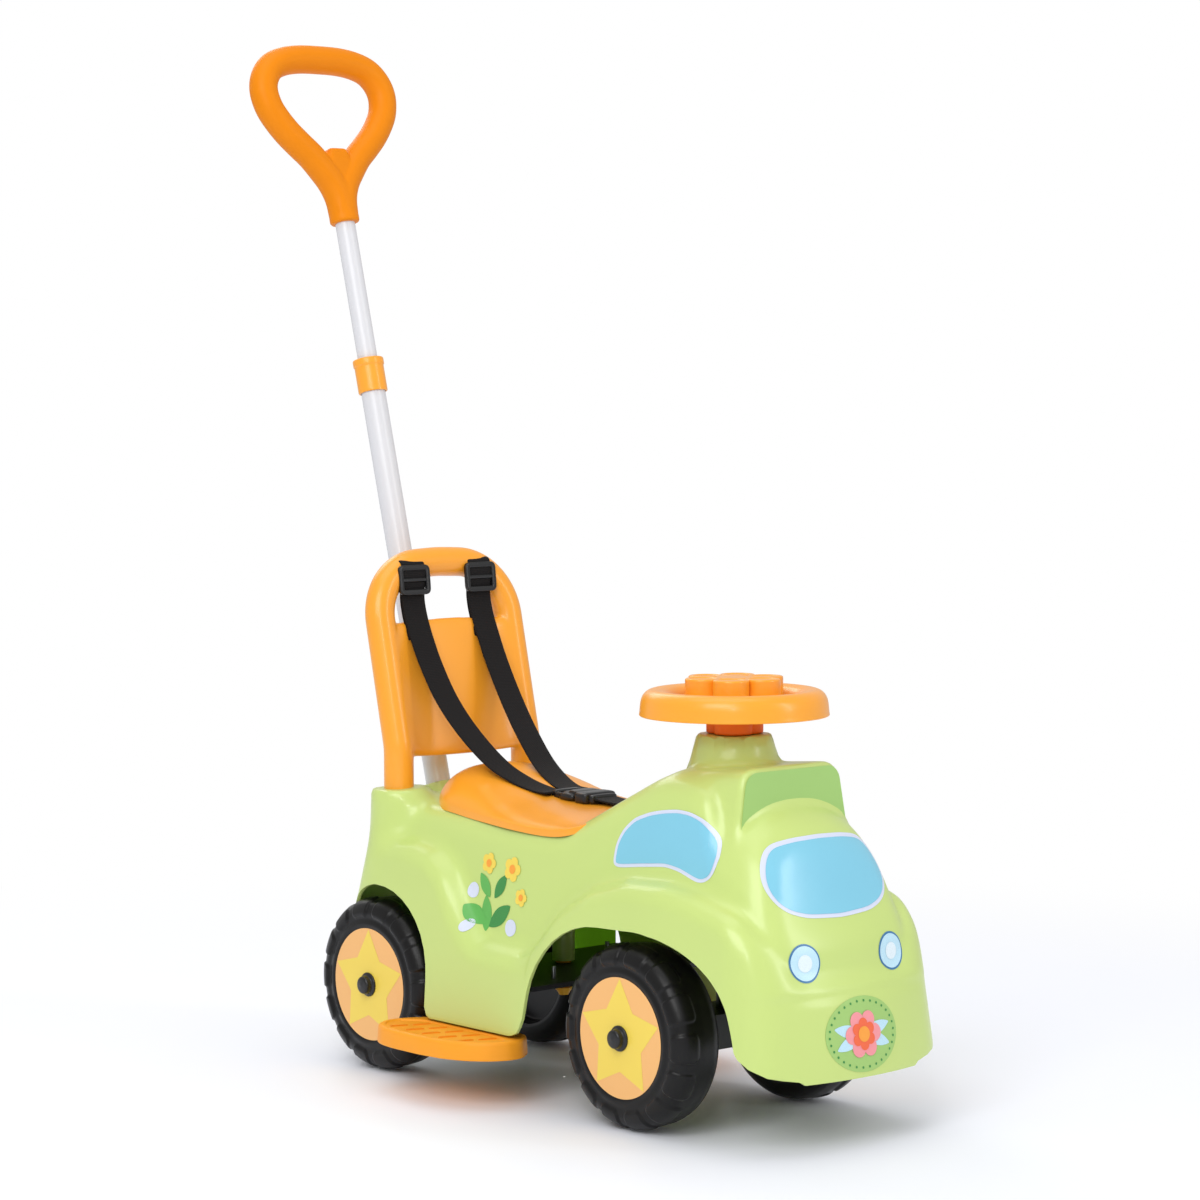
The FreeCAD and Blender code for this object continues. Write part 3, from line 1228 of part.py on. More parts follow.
def strap(side, sign):
    """Band that lies in the rail's slit, folds down over its front and ends in a sewn stop behind it."""
    label = "strap_" + side
    body = new_body(label)
    behind = "(-post_dia / 2 - web_stop)"
    inner = [
        (behind, "%s * %s - web_thick / 2" % (behind, SLIT_RISE)),
        ("web_front", "web_front * %s - web_thick / 2" % SLIT_RISE),
        ("web_front", "-0.2 * " + DROP),
        ("web_front + 70", "-0.72 * " + DROP),
        ("web_front + 108", "-0.89 * " + DROP),
        (BAND_LEN, "4 - " + DROP),
    ]
    outer = [
        (BAND_LEN, "4 + web_thick - " + DROP),
        ("web_front + 108 + 0.5 * web_thick", "0.9 * web_thick - 0.89 * " + DROP),
        ("web_front + 70 + 0.7 * web_thick", "0.7 * web_thick - 0.72 * " + DROP),
        ("web_front + web_thick", "0.4 * web_thick - 0.2 * " + DROP),
        ("web_front + web_thick", "web_front * %s + web_thick / 2" % SLIT_RISE),
        (behind, "%s * %s + web_thick / 2" % (behind, SLIT_RISE)),
    ]
    band = sketch(body, label + "_band_side", "XZ_Plane", inner + outer)
    pad(body, label + "_band", band, "web_wide", both=True)
    bends = [inner[i] for i in (2, 3, 4)] + [outer[i] for i in (1, 2, 3)]
    round_off(body, label + "_bends", "35", corner_at("xz", *bends))
    low, high = "%s * %s - 4" % (behind, SLIT_RISE), "%s * %s + 4" % (behind, SLIT_RISE)
    stop = sketch(body, label + "_stop_side", "XZ_Plane", [
        (behind + " - 3", low), (behind + " + 1", low), (behind + " + 1", high), (behind + " - 3", high),
    ])
    pad(body, label + "_stop", stop, "web_wide", both=True)
    nodes.append(strap_place(body, side, sign))


def slider(side, sign):
    """Flat frame with two windows that hangs in front of the strap below the rail."""
    label = "strap_slider_" + side
    body = new_body(label)
    half = "(web_wide / 2 + 4)"
    frame = sketch(body, label + "_plan", "YZ_Plane", [
        ("-" + half, "-23"), (half, "-23"), (half, "3"), ("-" + half, "3"),
    ], lift="web_front + web_thick + 0.3")
    pad(body, label + "_frame", frame, "4.5")
    for i, low in enumerate(("-19.5", "-8")):
        window = sketch(body, "%s_window%d" % (label, i), "YZ_Plane", [
            ("-web_wide / 2 - 0.5", low),
            ("web_wide / 2 + 0.5", low),
            ("web_wide / 2 + 0.5", low + " + 7.5"),
            ("-web_wide / 2 - 0.5", low + " + 7.5"),
        ])
        pad(body, "%s_gap%d" % (label, i), window, "200", both=True, cut=True)
    nodes.append(strap_place(body, side, sign))


for side, sign in SIDES:
    strap(side, sign)
    slider(side, sign)


def buckle_half(label, outline):
    body = new_body(label)
    plan = sketch(body, label + "_plan", "XY_Plane", outline, lift="seat_mid_z + 0.5")
    pad(body, label + "_pad", plan, "buckle_thick")

    def upper(edge, shape):
        return all(v.Point.z > val("seat_mid_z + buckle_thick") for v in edge.Vertexes)
    round_off(body, label + "_soft", "3", upper)
    nodes.append(body)
    return body


SPLIT = "(buckle_x + 0.45 * buckle_len)"
buckle_half("buckle_tongue", [
    ("buckle_x", "-buckle_half"),
    (SPLIT + " - side_gap", "-buckle_half"),
    (SPLIT + " - side_gap", "buckle_half"),
    ("buckle_x", "buckle_half"),
])
buckle_half("buckle_body", [
    (SPLIT, "-buckle_half"),
    ("buckle_x + buckle_len - 10", "-buckle_half"),
    ("buckle_x + buckle_len", "4 - buckle_half"),
    ("buckle_x + buckle_len", "buckle_half - 4"),
    ("buckle_x + buckle_len - 10", "buckle_half"),
    (SPLIT, "buckle_half"),
])
crotch = new_body("crotch_strap")
CROTCH_X = "buckle_x + buckle_len + side_gap"
TIP_RISE = "(%s + seat_tip_thick - seat_mid_z) / (seat_front_x + 38 - bonnet_foot_x)" % slope_z(
    "(seat_front_x + 10)")
TIP_Z = "seat_mid_z + (seat_front_x + 27 - bonnet_foot_x) * %s + 0.6" % TIP_RISE
pad(crotch, "crotch_band", sketch(crotch, "crotch_side", "XZ_Plane", [
    (CROTCH_X, "seat_mid_z + 2.4"),
    (CROTCH_X + " + 9", "seat_mid_z + 3.6"),
    ("seat_front_x - 1", TIP_Z),
    ("seat_front_x - 1", TIP_Z + " + web_thick"),
    (CROTCH_X + " + 9", "seat_mid_z + 3.6 + web_thick"),
    (CROTCH_X, "seat_mid_z + 2.4 + web_thick"),
]), "web_wide", both=True)
nodes.append(crotch)

# every object sound, then one file for each node
doc.recompute()
for item in doc.Objects:
    for word in ("Invalid", "Error"):
        if word in str(item.State):
            raise RuntimeError("%s is %s" % (item.Name, word))
os.makedirs("parts", exist_ok=True)
for item in nodes:
    shape = item.Shape
    if shape.isNull() or not shape.isValid() or not shape.Solids:
        raise RuntimeError("%s has no sound shape" % item.Label)
    shape.exportStep("parts/%s.step" % item.Label)
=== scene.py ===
import bmesh
import bpy
import math
import numpy as np
from mathutils import Matrix, Vector

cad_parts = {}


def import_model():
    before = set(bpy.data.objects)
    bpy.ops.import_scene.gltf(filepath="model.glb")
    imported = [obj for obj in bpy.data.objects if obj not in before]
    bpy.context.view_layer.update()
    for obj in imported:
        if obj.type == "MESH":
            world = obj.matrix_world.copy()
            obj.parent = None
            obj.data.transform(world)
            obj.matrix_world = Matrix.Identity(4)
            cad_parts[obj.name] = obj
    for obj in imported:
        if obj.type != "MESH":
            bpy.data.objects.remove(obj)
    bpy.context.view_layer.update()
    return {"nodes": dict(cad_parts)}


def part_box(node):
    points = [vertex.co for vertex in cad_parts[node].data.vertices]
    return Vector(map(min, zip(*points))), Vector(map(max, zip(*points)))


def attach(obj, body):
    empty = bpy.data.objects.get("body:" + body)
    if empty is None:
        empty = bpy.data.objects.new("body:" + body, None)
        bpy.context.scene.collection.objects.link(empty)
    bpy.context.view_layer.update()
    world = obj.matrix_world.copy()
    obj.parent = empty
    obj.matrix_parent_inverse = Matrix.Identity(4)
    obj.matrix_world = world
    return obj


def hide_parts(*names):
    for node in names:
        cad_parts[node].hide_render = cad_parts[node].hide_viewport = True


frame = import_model()

# Sizes are in millimetres in the row frame: +X forward, +Y to the rider's left, +Z up.
MM = 0.001


def corners(name):
    """Lowest and highest corner of a CAD node at rest, in millimetres."""
    low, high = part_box(name)
    return np.array(low) / MM, np.array(high) / MM


def middle(name):
    """Centre of a CAD node's box at rest, in millimetres."""
    low, high = corners(name)
    return (low + high) / 2


SIDES = (("right", -1), ("left", 1))
FRONT_AXLE = middle("front_axle")
REAR_AXLE = middle("rear_axle")
STEER_X = middle("steering_shaft")[0]
NOSE_X = corners("body_shell")[1][0] + 9.0
TAIL_X = corners("body_shell")[0][0]


# Smooth maths shared by the surfaces


def soft_max(a, b, k):
    """Greater of two fields, rounded over a band k wide where they are close."""
    near = np.maximum(k - np.abs(a - b), 0.0) / k
    return np.maximum(a, b) + near * near * k * 0.25


def soft_min(a, b, k):
    """Lesser of two fields, rounded over a band k wide where they are close."""
    return -soft_max(-a, -b, k)


def ease(t):
    """0 to 1 with level ends as t goes from 0 to 1."""
    t = np.clip(t, 0.0, 1.0)
    return t * t * (3.0 - 2.0 * t)


def unit(rows):
    """Rows of vectors at length 1."""
    return rows / np.linalg.norm(rows, axis=-1, keepdims=True)


def run_along(line):
    """Distance along a polyline from its start to each of its points."""
    return np.concatenate([[0.0], np.cumsum(np.linalg.norm(np.diff(line, axis=0), axis=1))])


def full_turn(count):
    """Even angles round a circle, the last one a step short of the first."""
    return np.linspace(0.0, 2 * math.pi, count, endpoint=False)


class Profile:
    """Height over X through a few points, rounded by a bell of the given spread; slope is its derivative."""

    def __init__(self, points, spread):
        xs, zs = np.array(points, float).T
        self.x = np.arange(xs[0] - 80.0, xs[-1] + 80.0)
        flat = np.interp(self.x, xs, zs)
        reach = int(4 * spread)
        bell = np.exp(-0.5 * (np.arange(-reach, reach + 1) / spread) ** 2)
        padded = np.pad(flat, reach, mode="edge")
        self.z = np.convolve(padded, bell / bell.sum(), mode="valid")
        self.dz = np.gradient(self.z)

    def __call__(self, x):
        return np.interp(x, self.x, self.z)

    def slope(self, x):
        return np.interp(x, self.x, self.dz)


def rounded_path(points, radii, step=2.0):
    """Open path through points, each inner corner turned as an arc of its radius, in steps of about step."""
    points = np.array(points, float)
    out = [points[0]]
    for before, at, after, radius in zip(points[:-2], points[1:-1], points[2:], radii):
        d0, d1 = unit(before - at), unit(after - at)
        turn = math.acos(np.clip(d0 @ d1, -1.0, 1.0))
        if radius <= 0 or turn > math.pi - 1e-3:
            out.append(at)
            continue
        centre = at + unit(d0 + d1) * radius / math.sin(turn / 2)
        sweep = math.pi - turn
        side = unit(np.cross(np.cross(d0, d1), d0))
        for a in np.linspace(0.0, sweep, max(4, int(radius * sweep / step))):
            out.append(centre - side * radius * math.cos(a) - d0 * radius * math.sin(a))
    out.append(points[-1])
    return resample(np.array(out), step)


def resample(line, step):
    """Points along a polyline at even spacing of about step."""
    lengths = run_along(line)
    count = max(2, int(round(lengths[-1] / step)) + 1)
    at = np.linspace(0.0, lengths[-1], count)
    return np.stack([np.interp(at, lengths, line[:, i]) for i in range(line.shape[1])], axis=1)


def closed_loop(points, soft, count=160):
    """Closed outline through points at even spacing, its corners rounded by a bell of spread soft."""
    ring = np.array(list(points) + [points[0]], float)
    lengths = run_along(ring)
    at = np.linspace(0.0, lengths[-1], count, endpoint=False)
    line = np.stack([np.interp(at, lengths, ring[:, i]) for i in range(2)], axis=1)
    steps = np.minimum(np.arange(count), count - np.arange(count)) * lengths[-1] / count
    bell = np.exp(-0.5 * (steps / max(soft, 1e-3)) ** 2)
    bell = bell / bell.sum()
    return np.real(np.fft.ifft(np.fft.fft(line, axis=0) * np.fft.fft(bell)[:, None], axis=0))


# Meshes from grids of points


def placed(name, data):
    """New object of the scene from a mesh, a camera or a light."""
    obj = bpy.data.objects.new(name, data)
    bpy.context.scene.collection.objects.link(obj)
    return obj


def mesh_from(name, body, points, faces, material, uv=None, sharp=None):
    """Object from points in millimetres and faces as index rows, shaded smooth, riding on a body."""
    mesh = bpy.data.meshes.new(name)
    mesh.from_pydata((np.asarray(points, float) * MM).tolist(), [], faces.tolist())
    mesh.polygons.foreach_set("use_smooth", np.ones(len(mesh.polygons), bool))
    if uv is not None:
        layer = mesh.uv_layers.new(name="UVMap")
        index = np.empty(len(mesh.loops), np.int32)
        mesh.loops.foreach_get("vertex_index", index)
        layer.data.foreach_set("uv", np.asarray(uv, np.float32)[index].ravel())
    if sharp is not None:
        mesh.set_sharp_from_angle(angle=math.radians(sharp))
    mesh.materials.append(material)
    obj = placed(name, mesh)
    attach(obj, body)
    return obj


def grid_faces(nu, nv, wrap_u=False, wrap_v=False, flip=False):
    """Quads of an nu by nv grid of points, closed on itself along u or v where asked."""
    u = np.arange(nu if wrap_u else nu - 1)
    v = np.arange(nv if wrap_v else nv - 1)
    u, v = np.meshgrid(u, v, indexing="ij")
    u1, v1 = (u + 1) % nu, (v + 1) % nv
    quads = np.stack([u * nv + v, u1 * nv + v, u1 * nv + v1, u * nv + v1], axis=-1).reshape(-1, 4)
    return quads[:, ::-1] if flip else quads


def surface(name, body, grid, material, wrap_u=False, wrap_v=False, flip=False, uv=None, sharp=None):
    """Object whose points are a grid of shape (nu, nv, 3) in millimetres."""
    nu, nv = grid.shape[:2]
    faces = grid_faces(nu, nv, wrap_u, wrap_v, flip)
    flat_uv = None if uv is None else uv.reshape(-1, 2)
    return mesh_from(name, body, grid.reshape(-1, 3), faces, material, flat_uv, sharp)


def solidify(obj, thick, bevel=0.0):
    """Gives an open surface a wall on its inner side and rounds the rim."""
    wall = obj.modifiers.new("wall", "SOLIDIFY")
    wall.thickness = thick * MM
    wall.offset = -1.0
    wall.use_rim = True
    if bevel > 0:
        rim = obj.modifiers.new("rim", "BEVEL")
        rim.width = bevel * MM
        rim.segments = 2
        rim.limit_method = "ANGLE"
        rim.angle_limit = math.radians(50)


def curve_through(points, step=1.5):
    """Smooth line through points: a Catmull-Rom curve, at even spacing."""
    p = np.array(points, float)
    p = np.concatenate([[2 * p[0] - p[1]], p, [2 * p[-1] - p[-2]]])
    t = np.linspace(0.0, 1.0, 24, endpoint=False)[:, None]
    out = []
    for a, b, c, d in zip(p[:-3], p[1:-2], p[2:-1], p[3:]):
        out.append(0.5 * (2 * b + (c - a) * t + (2 * a - 5 * b + 4 * c - d) * t ** 2
                          + (3 * b - a - 3 * c + d) * t ** 3))
    return resample(np.concatenate(out + [p[-2:-1]]), step)


def signed_power(value, power):
    """Power of the size of a value with its sign kept."""
    return np.sign(value) * np.abs(value) ** power


def rounded_box(low, high, power, count=40):
    """Closed grid of a box with soft edges: a superellipsoid scaled to the box."""
    low, high = np.array(low, float), np.array(high, float)
    a = np.linspace(-math.pi / 2, math.pi / 2, count)
    b = full_turn(2 * count)
    ca, sa = signed_power(np.cos(a), power)[:, None], signed_power(np.sin(a), power)[:, None]
    cb, sb = signed_power(np.cos(b), power)[None, :], signed_power(np.sin(b), power)[None, :]
    ball = np.stack([ca * cb, ca * sb, np.broadcast_to(sa, (count, 2 * count))], axis=-1)
    return (low + high) / 2 + ball * (high - low) / 2


WELD_GAP = 1e-6


def welded(obj, turn_out=False):
    """Joins points that share a place, so that poles and seams close; may turn faces outwards too."""
    work = bmesh.new()
    work.from_mesh(obj.data)
    bmesh.ops.remove_doubles(work, verts=work.verts, dist=WELD_GAP)
    if turn_out:
        bmesh.ops.recalc_face_normals(work, faces=work.faces)
    work.to_mesh(obj.data)
    work.free()
    return obj


def tube(path, radius, side, count=40):
    """Round bar along a path: rings in the plane of a fixed side direction and its cross with the path."""
    ahead = np.roll(path, -1, axis=0) - np.roll(path, 1, axis=0)
    ahead[0], ahead[-1] = path[1] - path[0], path[-1] - path[-2]
    ahead = unit(ahead)
    other = unit(np.cross(ahead, unit(side)))
    across = np.cross(other, ahead)
    turn = full_turn(count)
    radius = np.broadcast_to(radius, (len(path),))[:, None, None]
    ring = np.cos(turn)[None, :, None] * across[:, None, :] + np.sin(turn)[None, :, None] * other[:, None, :]
    return path[:, None, :] + ring * radius


def capped(grid):
    """Grid of rings with both ends drawn in to a point."""
    return np.concatenate([grid[:1].mean(axis=1, keepdims=True).repeat(grid.shape[1], 1), grid,
                           grid[-1:].mean(axis=1, keepdims=True).repeat(grid.shape[1], 1)])


def joined(name, body, grids, material, loops=()):
    """One object from closed grids of rings; a loop is a grid whose last ring joins its first."""
    points, faces, count = [], [], 0
    for grid, wrap_u in [(g, True) for g in loops] + [(g, False) for g in grids]:
        faces.append(grid_faces(*grid.shape[:2], wrap_u=wrap_u, wrap_v=True) + count)
        points.append(grid.reshape(-1, 3))
        count += grid.shape[0] * grid.shape[1]
    obj = mesh_from(name, body, np.concatenate(points), np.concatenate(faces), material)
    return welded(obj, turn_out=True)


def fuse(obj, voxel, passes):
    """Melts overlapping closed parts into one skin with soft inner corners."""
    melt = obj.modifiers.new("melt", "REMESH")
    melt.mode = "VOXEL"
    melt.voxel_size = voxel * MM
    melt.use_smooth_shade = True
    even = obj.modifiers.new("even", "SMOOTH")
    even.factor = 0.5
    even.iterations = passes


def stand_in(obj, cad=None, sharp=None):
    """Hides the CAD node that a piece stands in for; edges over the angle sharp stay crisp."""
    if sharp is not None:
        obj.data.set_sharp_from_angle(angle=math.radians(sharp))
    if cad is not None:
        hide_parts(cad)
    return obj


# Materials


def linear(red, green, blue):
    """Display colour out of 255 as the linear colour a shader takes."""
    c = np.array([red, green, blue]) / 255.0
    lin = np.where(c <= 0.04045, c / 12.92, ((c + 0.055) / 1.055) ** 2.4)
    return (float(lin[0]), float(lin[1]), float(lin[2]), 1.0)


def node(tree, kind, at=(0, 0), **values):
    """Adds a node; values name its own properties."""
    made = tree.nodes.new(kind)
    made.location = at
    for key, value in values.items():
        setattr(made, key, value)
    return made


def fill(made, values):
    """Sets sockets of a node by name and returns the node."""
    for label, value in values.items():
        made.inputs[label].default_value = value
    return made


def link(source, out, target, into):
    """Joins an output of one node to an input of another in the same tree."""
    source.id_data.links.new(source.outputs[out], target.inputs[into])


def node_group(name, inputs, outputs):
    """Empty shader node group with named sockets; returns the group and its two end nodes."""
    group = bpy.data.node_groups.new(name, "ShaderNodeTree")
    for label, kind in inputs:
        group.interface.new_socket(label, in_out="INPUT", socket_type=kind)
    for label, kind in outputs:
        group.interface.new_socket(label, in_out="OUTPUT", socket_type=kind)
    return group, node(group, "NodeGroupInput", (-900, 0)), node(group, "NodeGroupOutput", (700, 0))


def moulded_group():
    """Moulded plastic: faint broad drift of tint, fine grain as height, and wandering roughness."""
    group, given, out = node_group(
        "moulded_skin",
        [("Vector", "NodeSocketVector"), ("Tint", "NodeSocketColor"), ("Shade", "NodeSocketColor"),
         ("Roughness", "NodeSocketFloat"), ("Grain", "NodeSocketFloat")],
        [("Color", "NodeSocketColor"), ("Roughness", "NodeSocketFloat"), ("Height", "NodeSocketFloat")],
    )
    drift = fill(node(group, "ShaderNodeTexNoise", (-600, 200)), {"Scale": 9.0, "Detail": 3.0})
    grain = fill(node(group, "ShaderNodeTexNoise", (-600, -150)), {"Detail": 4.0})
    link(given, "Vector", drift, "Vector")
    link(given, "Vector", grain, "Vector")
    link(given, "Grain", grain, "Scale")
    mix = node(group, "ShaderNodeMix", (0, 200), data_type="RGBA")
    link(drift, "Fac", mix, "Factor")
    link(given, "Tint", mix, "A")
    link(given, "Shade", mix, "B")
    link(mix, "Result", out, "Color")
    wander = fill(node(group, "ShaderNodeMapRange", (-300, -50)), {"To Min": 0.85, "To Max": 1.15})
    link(grain, "Fac", wander, "Value")
    rough = node(group, "ShaderNodeMath", (0, -50), operation="MULTIPLY")
    link(wander, "Result", rough, 0)
    link(given, "Roughness", rough, 1)
    link(rough, "Value", out, "Roughness")
    link(grain, "Fac", out, "Height")
    return group


def principled(name):
    """New material with its shader node; returns both."""
    material = bpy.data.materials.new(name)
    material.use_nodes = True
    shader = material.node_tree.nodes["Principled BSDF"]
    return material, shader


MOULDED = moulded_group()


def plastic(name, colour, rough=0.35, grain=900.0, bump=0.05, coat=0.0, drift=0.94, shine=0.5, glow=0.0):
    """Moulded plastic of one colour with the shared skin group, on Object coordinates; glow is painted light:
    an even emission in the tint that brightens a part lying in shade."""
    material, shader = principled(name)
    tree = material.node_tree
    tint = linear(*colour)
    shade = tuple(c * drift for c in tint[:3]) + (1.0,)
    place = node(tree, "ShaderNodeTexCoord", (-900, 0))
    skin = fill(node(tree, "ShaderNodeGroup", (-600, 0), node_tree=MOULDED),
                {"Tint": tint, "Shade": shade, "Roughness": rough, "Grain": grain})
    relief = fill(node(tree, "ShaderNodeBump", (-300, -200)), {"Strength": bump, "Distance": 0.0005})
    link(place, "Object", skin, "Vector")
    link(skin, "Color", shader, "Base Color")
    link(skin, "Roughness", shader, "Roughness")
    link(skin, "Height", relief, "Height")
    link(relief, "Normal", shader, "Normal")
    fill(shader, {"Specular IOR Level": shine, "Emission Color": tint, "Emission Strength": glow,
                  "Coat Weight": coat, "Coat Roughness": 0.12})
    return material


GREEN = plastic("shell_green", (198, 218, 126), rough=0.3, coat=0.15)
# Painted light: the wells' brighter, more saturated green and its glow stand in for light on the shell's
# inside.
WELL_GREEN_PAINTED_GLOW = plastic("well_green_painted_glow", (120, 190, 30), rough=0.45, glow=0.16)
ORANGE = plastic("moulded_orange", (250, 165, 42), rough=0.3, coat=0.12)
# Painted shade: the grip's deeper orange and low shine stand in for the shade the grip takes.
GRIP_PAINTED_SHADE_ORANGE = plastic("grip_painted_shade_orange", (232, 134, 6), rough=0.45, shine=0.15)
FOOT_ORANGE = plastic("foot_orange", (250, 162, 36), rough=0.5, shine=0.3)
# Painted shade: a deeper copy of the orange for the stem lying in the shade under the rim.
STEM_PAINTED_SHADE_ORANGE = plastic("stem_painted_shade_orange", (238, 108, 12), rough=0.5, shine=0.2)
# Painted shade: a darker copy of the orange for the footrest ribs, standing in for shade on their sides.
RIB_PAINTED_SHADE_ORANGE = plastic("rib_painted_shade_orange", (234, 134, 16), rough=0.5, shine=0.2)
WHITE = plastic("tube_white", (217, 217, 220), rough=0.26, grain=400.0)
BLACK = plastic("tyre_black", (13, 12, 12), rough=0.34, grain=700.0, bump=0.12, drift=0.75, shine=0.28)
FRAME_BLACK = plastic("frame_black", (30, 30, 33), rough=0.5, drift=0.8)
PLUG_YELLOW = plastic("plug_yellow", (236, 178, 34), rough=0.38)
STEEL = plastic("plain_steel", (176, 178, 182), rough=0.3, grain=250.0)
fill(STEEL.node_tree.nodes["Principled BSDF"], {"Metallic": 1.0})
BUCKLE_BLACK = plastic("buckle_black", (17, 17, 19), rough=0.3, drift=0.8)
PEACH = plastic("disc_peach", (243, 184, 112), rough=0.36)
STAR_YELLOW = plastic("star_yellow", (241, 212, 84), rough=0.36)
DARK_GREEN = plastic("brow_green", (160, 200, 112), rough=0.36)
SKY_BLUE = plastic("window_blue", (128, 200, 224), rough=0.25, coat=0.2)
PALE_BORDER = plastic("window_border", (214, 220, 240), rough=0.3)
LAMP_BLUE = plastic("lamp_blue", (190, 226, 242), rough=0.28)
RING_BLUE = plastic("lamp_ring", (58, 120, 170), rough=0.3)
LAMP_WHITE = plastic("lamp_white", (226, 240, 247), rough=0.28)
LEAF_GREEN = plastic("leaf_green", (96, 178, 84), rough=0.36)
LEAF_DARK = plastic("leaf_dark", (58, 140, 66), rough=0.36)
PINK = plastic("petal_pink", (242, 150, 156), rough=0.36)
CORAL = plastic("petal_coral", (240, 104, 62), rough=0.36)
SUN_ORANGE = plastic("sun_orange", (247, 160, 56), rough=0.36)


def weave_group():
    """Woven webbing on the band's own UV: cross ribs and a slanting twill as height, with painted shade
    darker in the gaps.
    """
    group, given, out = node_group(
        "web_weave",
        [("Vector", "NodeSocketVector"), ("Tint", "NodeSocketColor"), ("Gap Shade", "NodeSocketColor")],
        [("Color", "NodeSocketColor"), ("Height", "NodeSocketFloat")],
    )
    ribs = fill(node(group, "ShaderNodeTexWave", (-500, 200), wave_type="BANDS", bands_direction="Y"),
                {"Scale": 5.0, "Distortion": 0.6, "Detail": 1.0})
    twill = node(group, "ShaderNodeTexWave", (-500, -150), wave_type="BANDS", bands_direction="DIAGONAL")
    fill(twill, {"Scale": 9.0, "Distortion": 0.4})
    for wave in (ribs, twill):
        link(given, "Vector", wave, "Vector")
    height = node(group, "ShaderNodeMath", (-100, 0), operation="MULTIPLY")
    link(ribs, "Fac", height, 0)
    link(twill, "Fac", height, 1)
    link(height, "Value", out, "Height")
    # Painted shade: the low parts of the weave take the darker gap colour.
    mix = node(group, "ShaderNodeMix", (200, 200), data_type="RGBA")
    link(height, "Value", mix, "Factor")
    link(given, "Gap Shade", mix, "A")
    link(given, "Tint", mix, "B")
    link(mix, "Result", out, "Color")
    return group


def webbing(name, colour, gap):
    """Black woven band with a dull thread sheen."""
    material, shader = principled(name)
    tree = material.node_tree
    place = node(tree, "ShaderNodeTexCoord", (-900, 0))
    cloth = fill(node(tree, "ShaderNodeGroup", (-600, 0), node_tree=weave_group()),
                 {"Tint": linear(*colour), "Gap Shade": linear(*gap)})
    relief = fill(node(tree, "ShaderNodeBump", (-300, -200)), {"Strength": 0.5, "Distance": 0.0004})
    link(place, "UV", cloth, "Vector")
    link(cloth, "Color", shader, "Base Color")
    link(cloth, "Height", relief, "Height")
    link(relief, "Normal", shader, "Normal")
    fill(shader, {"Roughness": 0.85, "Specular IOR Level": 0.25, "Sheen Weight": 0.05})
    return material


# The second colour is painted shade: it darkens the weave's gaps.
WEBBING = webbing("webbing_black", (32, 26, 27), (6, 5, 5))

SLOT_LOOKS = {
    "shell_green": GREEN,
    "moulded_orange": ORANGE,
    "tube_white": WHITE,
    "wheel_black": BLACK,
    "disc_yellow": PEACH,
    "frame_black": FRAME_BLACK,
    "plain_steel": STEEL,
    "plug_yellow": PLUG_YELLOW,
    "webbing_black": WEBBING,
    "buckle_black": BUCKLE_BLACK,
}


def dress_cad_nodes():
    """Every CAD node's slots take the procedural look of the same name."""
    for obj in frame["nodes"].values():
        for place in obj.material_slots:
            for name, look in SLOT_LOOKS.items():
                if place.material.name.startswith(name):
                    place.material = look


dress_cad_nodes()

# Moulded body: one smooth field, draped by rays

RAY_Z = 55.0
EDGE_Z = 58.6
STATION_R = 150.0
RAY_STEPS, RAY_HALVINGS = 150, 16
WALL_LEAN = math.tan(math.radians(5.0))
SIDE_LEAN = math.tan(math.radians(7.0))
NOSE_LEAN, TAIL_LEAN = 0.14, 0.03
NOSE_BOW_Y, NOSE_BOW = 85.0, 13.0
SCREEN_BOW_Y, SCREEN_BOW = 60.0, 5.5
WAIST_HALF, WAIST_Z = 75.0, 255.0
WAIST_TAPER_X, WAIST_TAPER = 150.0, 0.026
REAR_WALL_X = -152.0
CHIN_Z = 124.0
SOCKET = (-136.4, 71.0, 242.0)
SOCKET_R, SOCKET_FLARE = 24.0, 0.03
TURRET_LOW, TURRET_HIGH = 280.0, 311.0
TURRET_WIDE, TURRET_SLIM = 38.4, 30.2
BROW_X, BROW_Z = 282.0, 291.5
BROW_BACK_X = 200.0
BROW_HALF, BROW_FLARE = 52.0, 0.17
BROW_LEAN, BROW_FALL = 0.03, 0.085
RIDGE_Z = 127.0
TUBE_LEAN = math.radians(14.8)
TUBE_FOOT = np.array([-176.05, 0.0, 254.0])
BOSS_R, BOSS_DROP = 16.5, 17.0

DECK = Profile(
    [(-160, 238), (-118, 237), (-100, 231), (93, 230), (198, 283), (240, 283), (283, 260.5),
     (307, 254), (340, 243)], 9.0
)
SCREEN = Profile([(60, 350.5), (131, 348.5), (158, 346.5), (172, 340), (186, 332.5), (234, 315), (255, 307.5),
                  (300, 291)], 7.0)
CREST = Profile(
    [(-190, 118), (-176, 136), (-168, 150), (-160, 168), (-148, 190), (-134, 200), (-90, 201), (-61, 196),
     (-38, 182), (-20, 155), (-4, 137), (12, 126), (66, 124), (82, 132), (106, 160), (145, 185), (187, 197),
     (233, 199), (267, 194), (311, 182), (333, 165), (345, 142), (360, 120)], 5.0
)
HALF_WIDTH = Profile([(-190, 102), (-182, 104), (-120, 114), (230, 114), (345, 108), (360, 105)], 12.0)


def brow_half(z):
    """Half width of the brow at a height."""
    return BROW_HALF + (BROW_Z - z) * BROW_FLARE


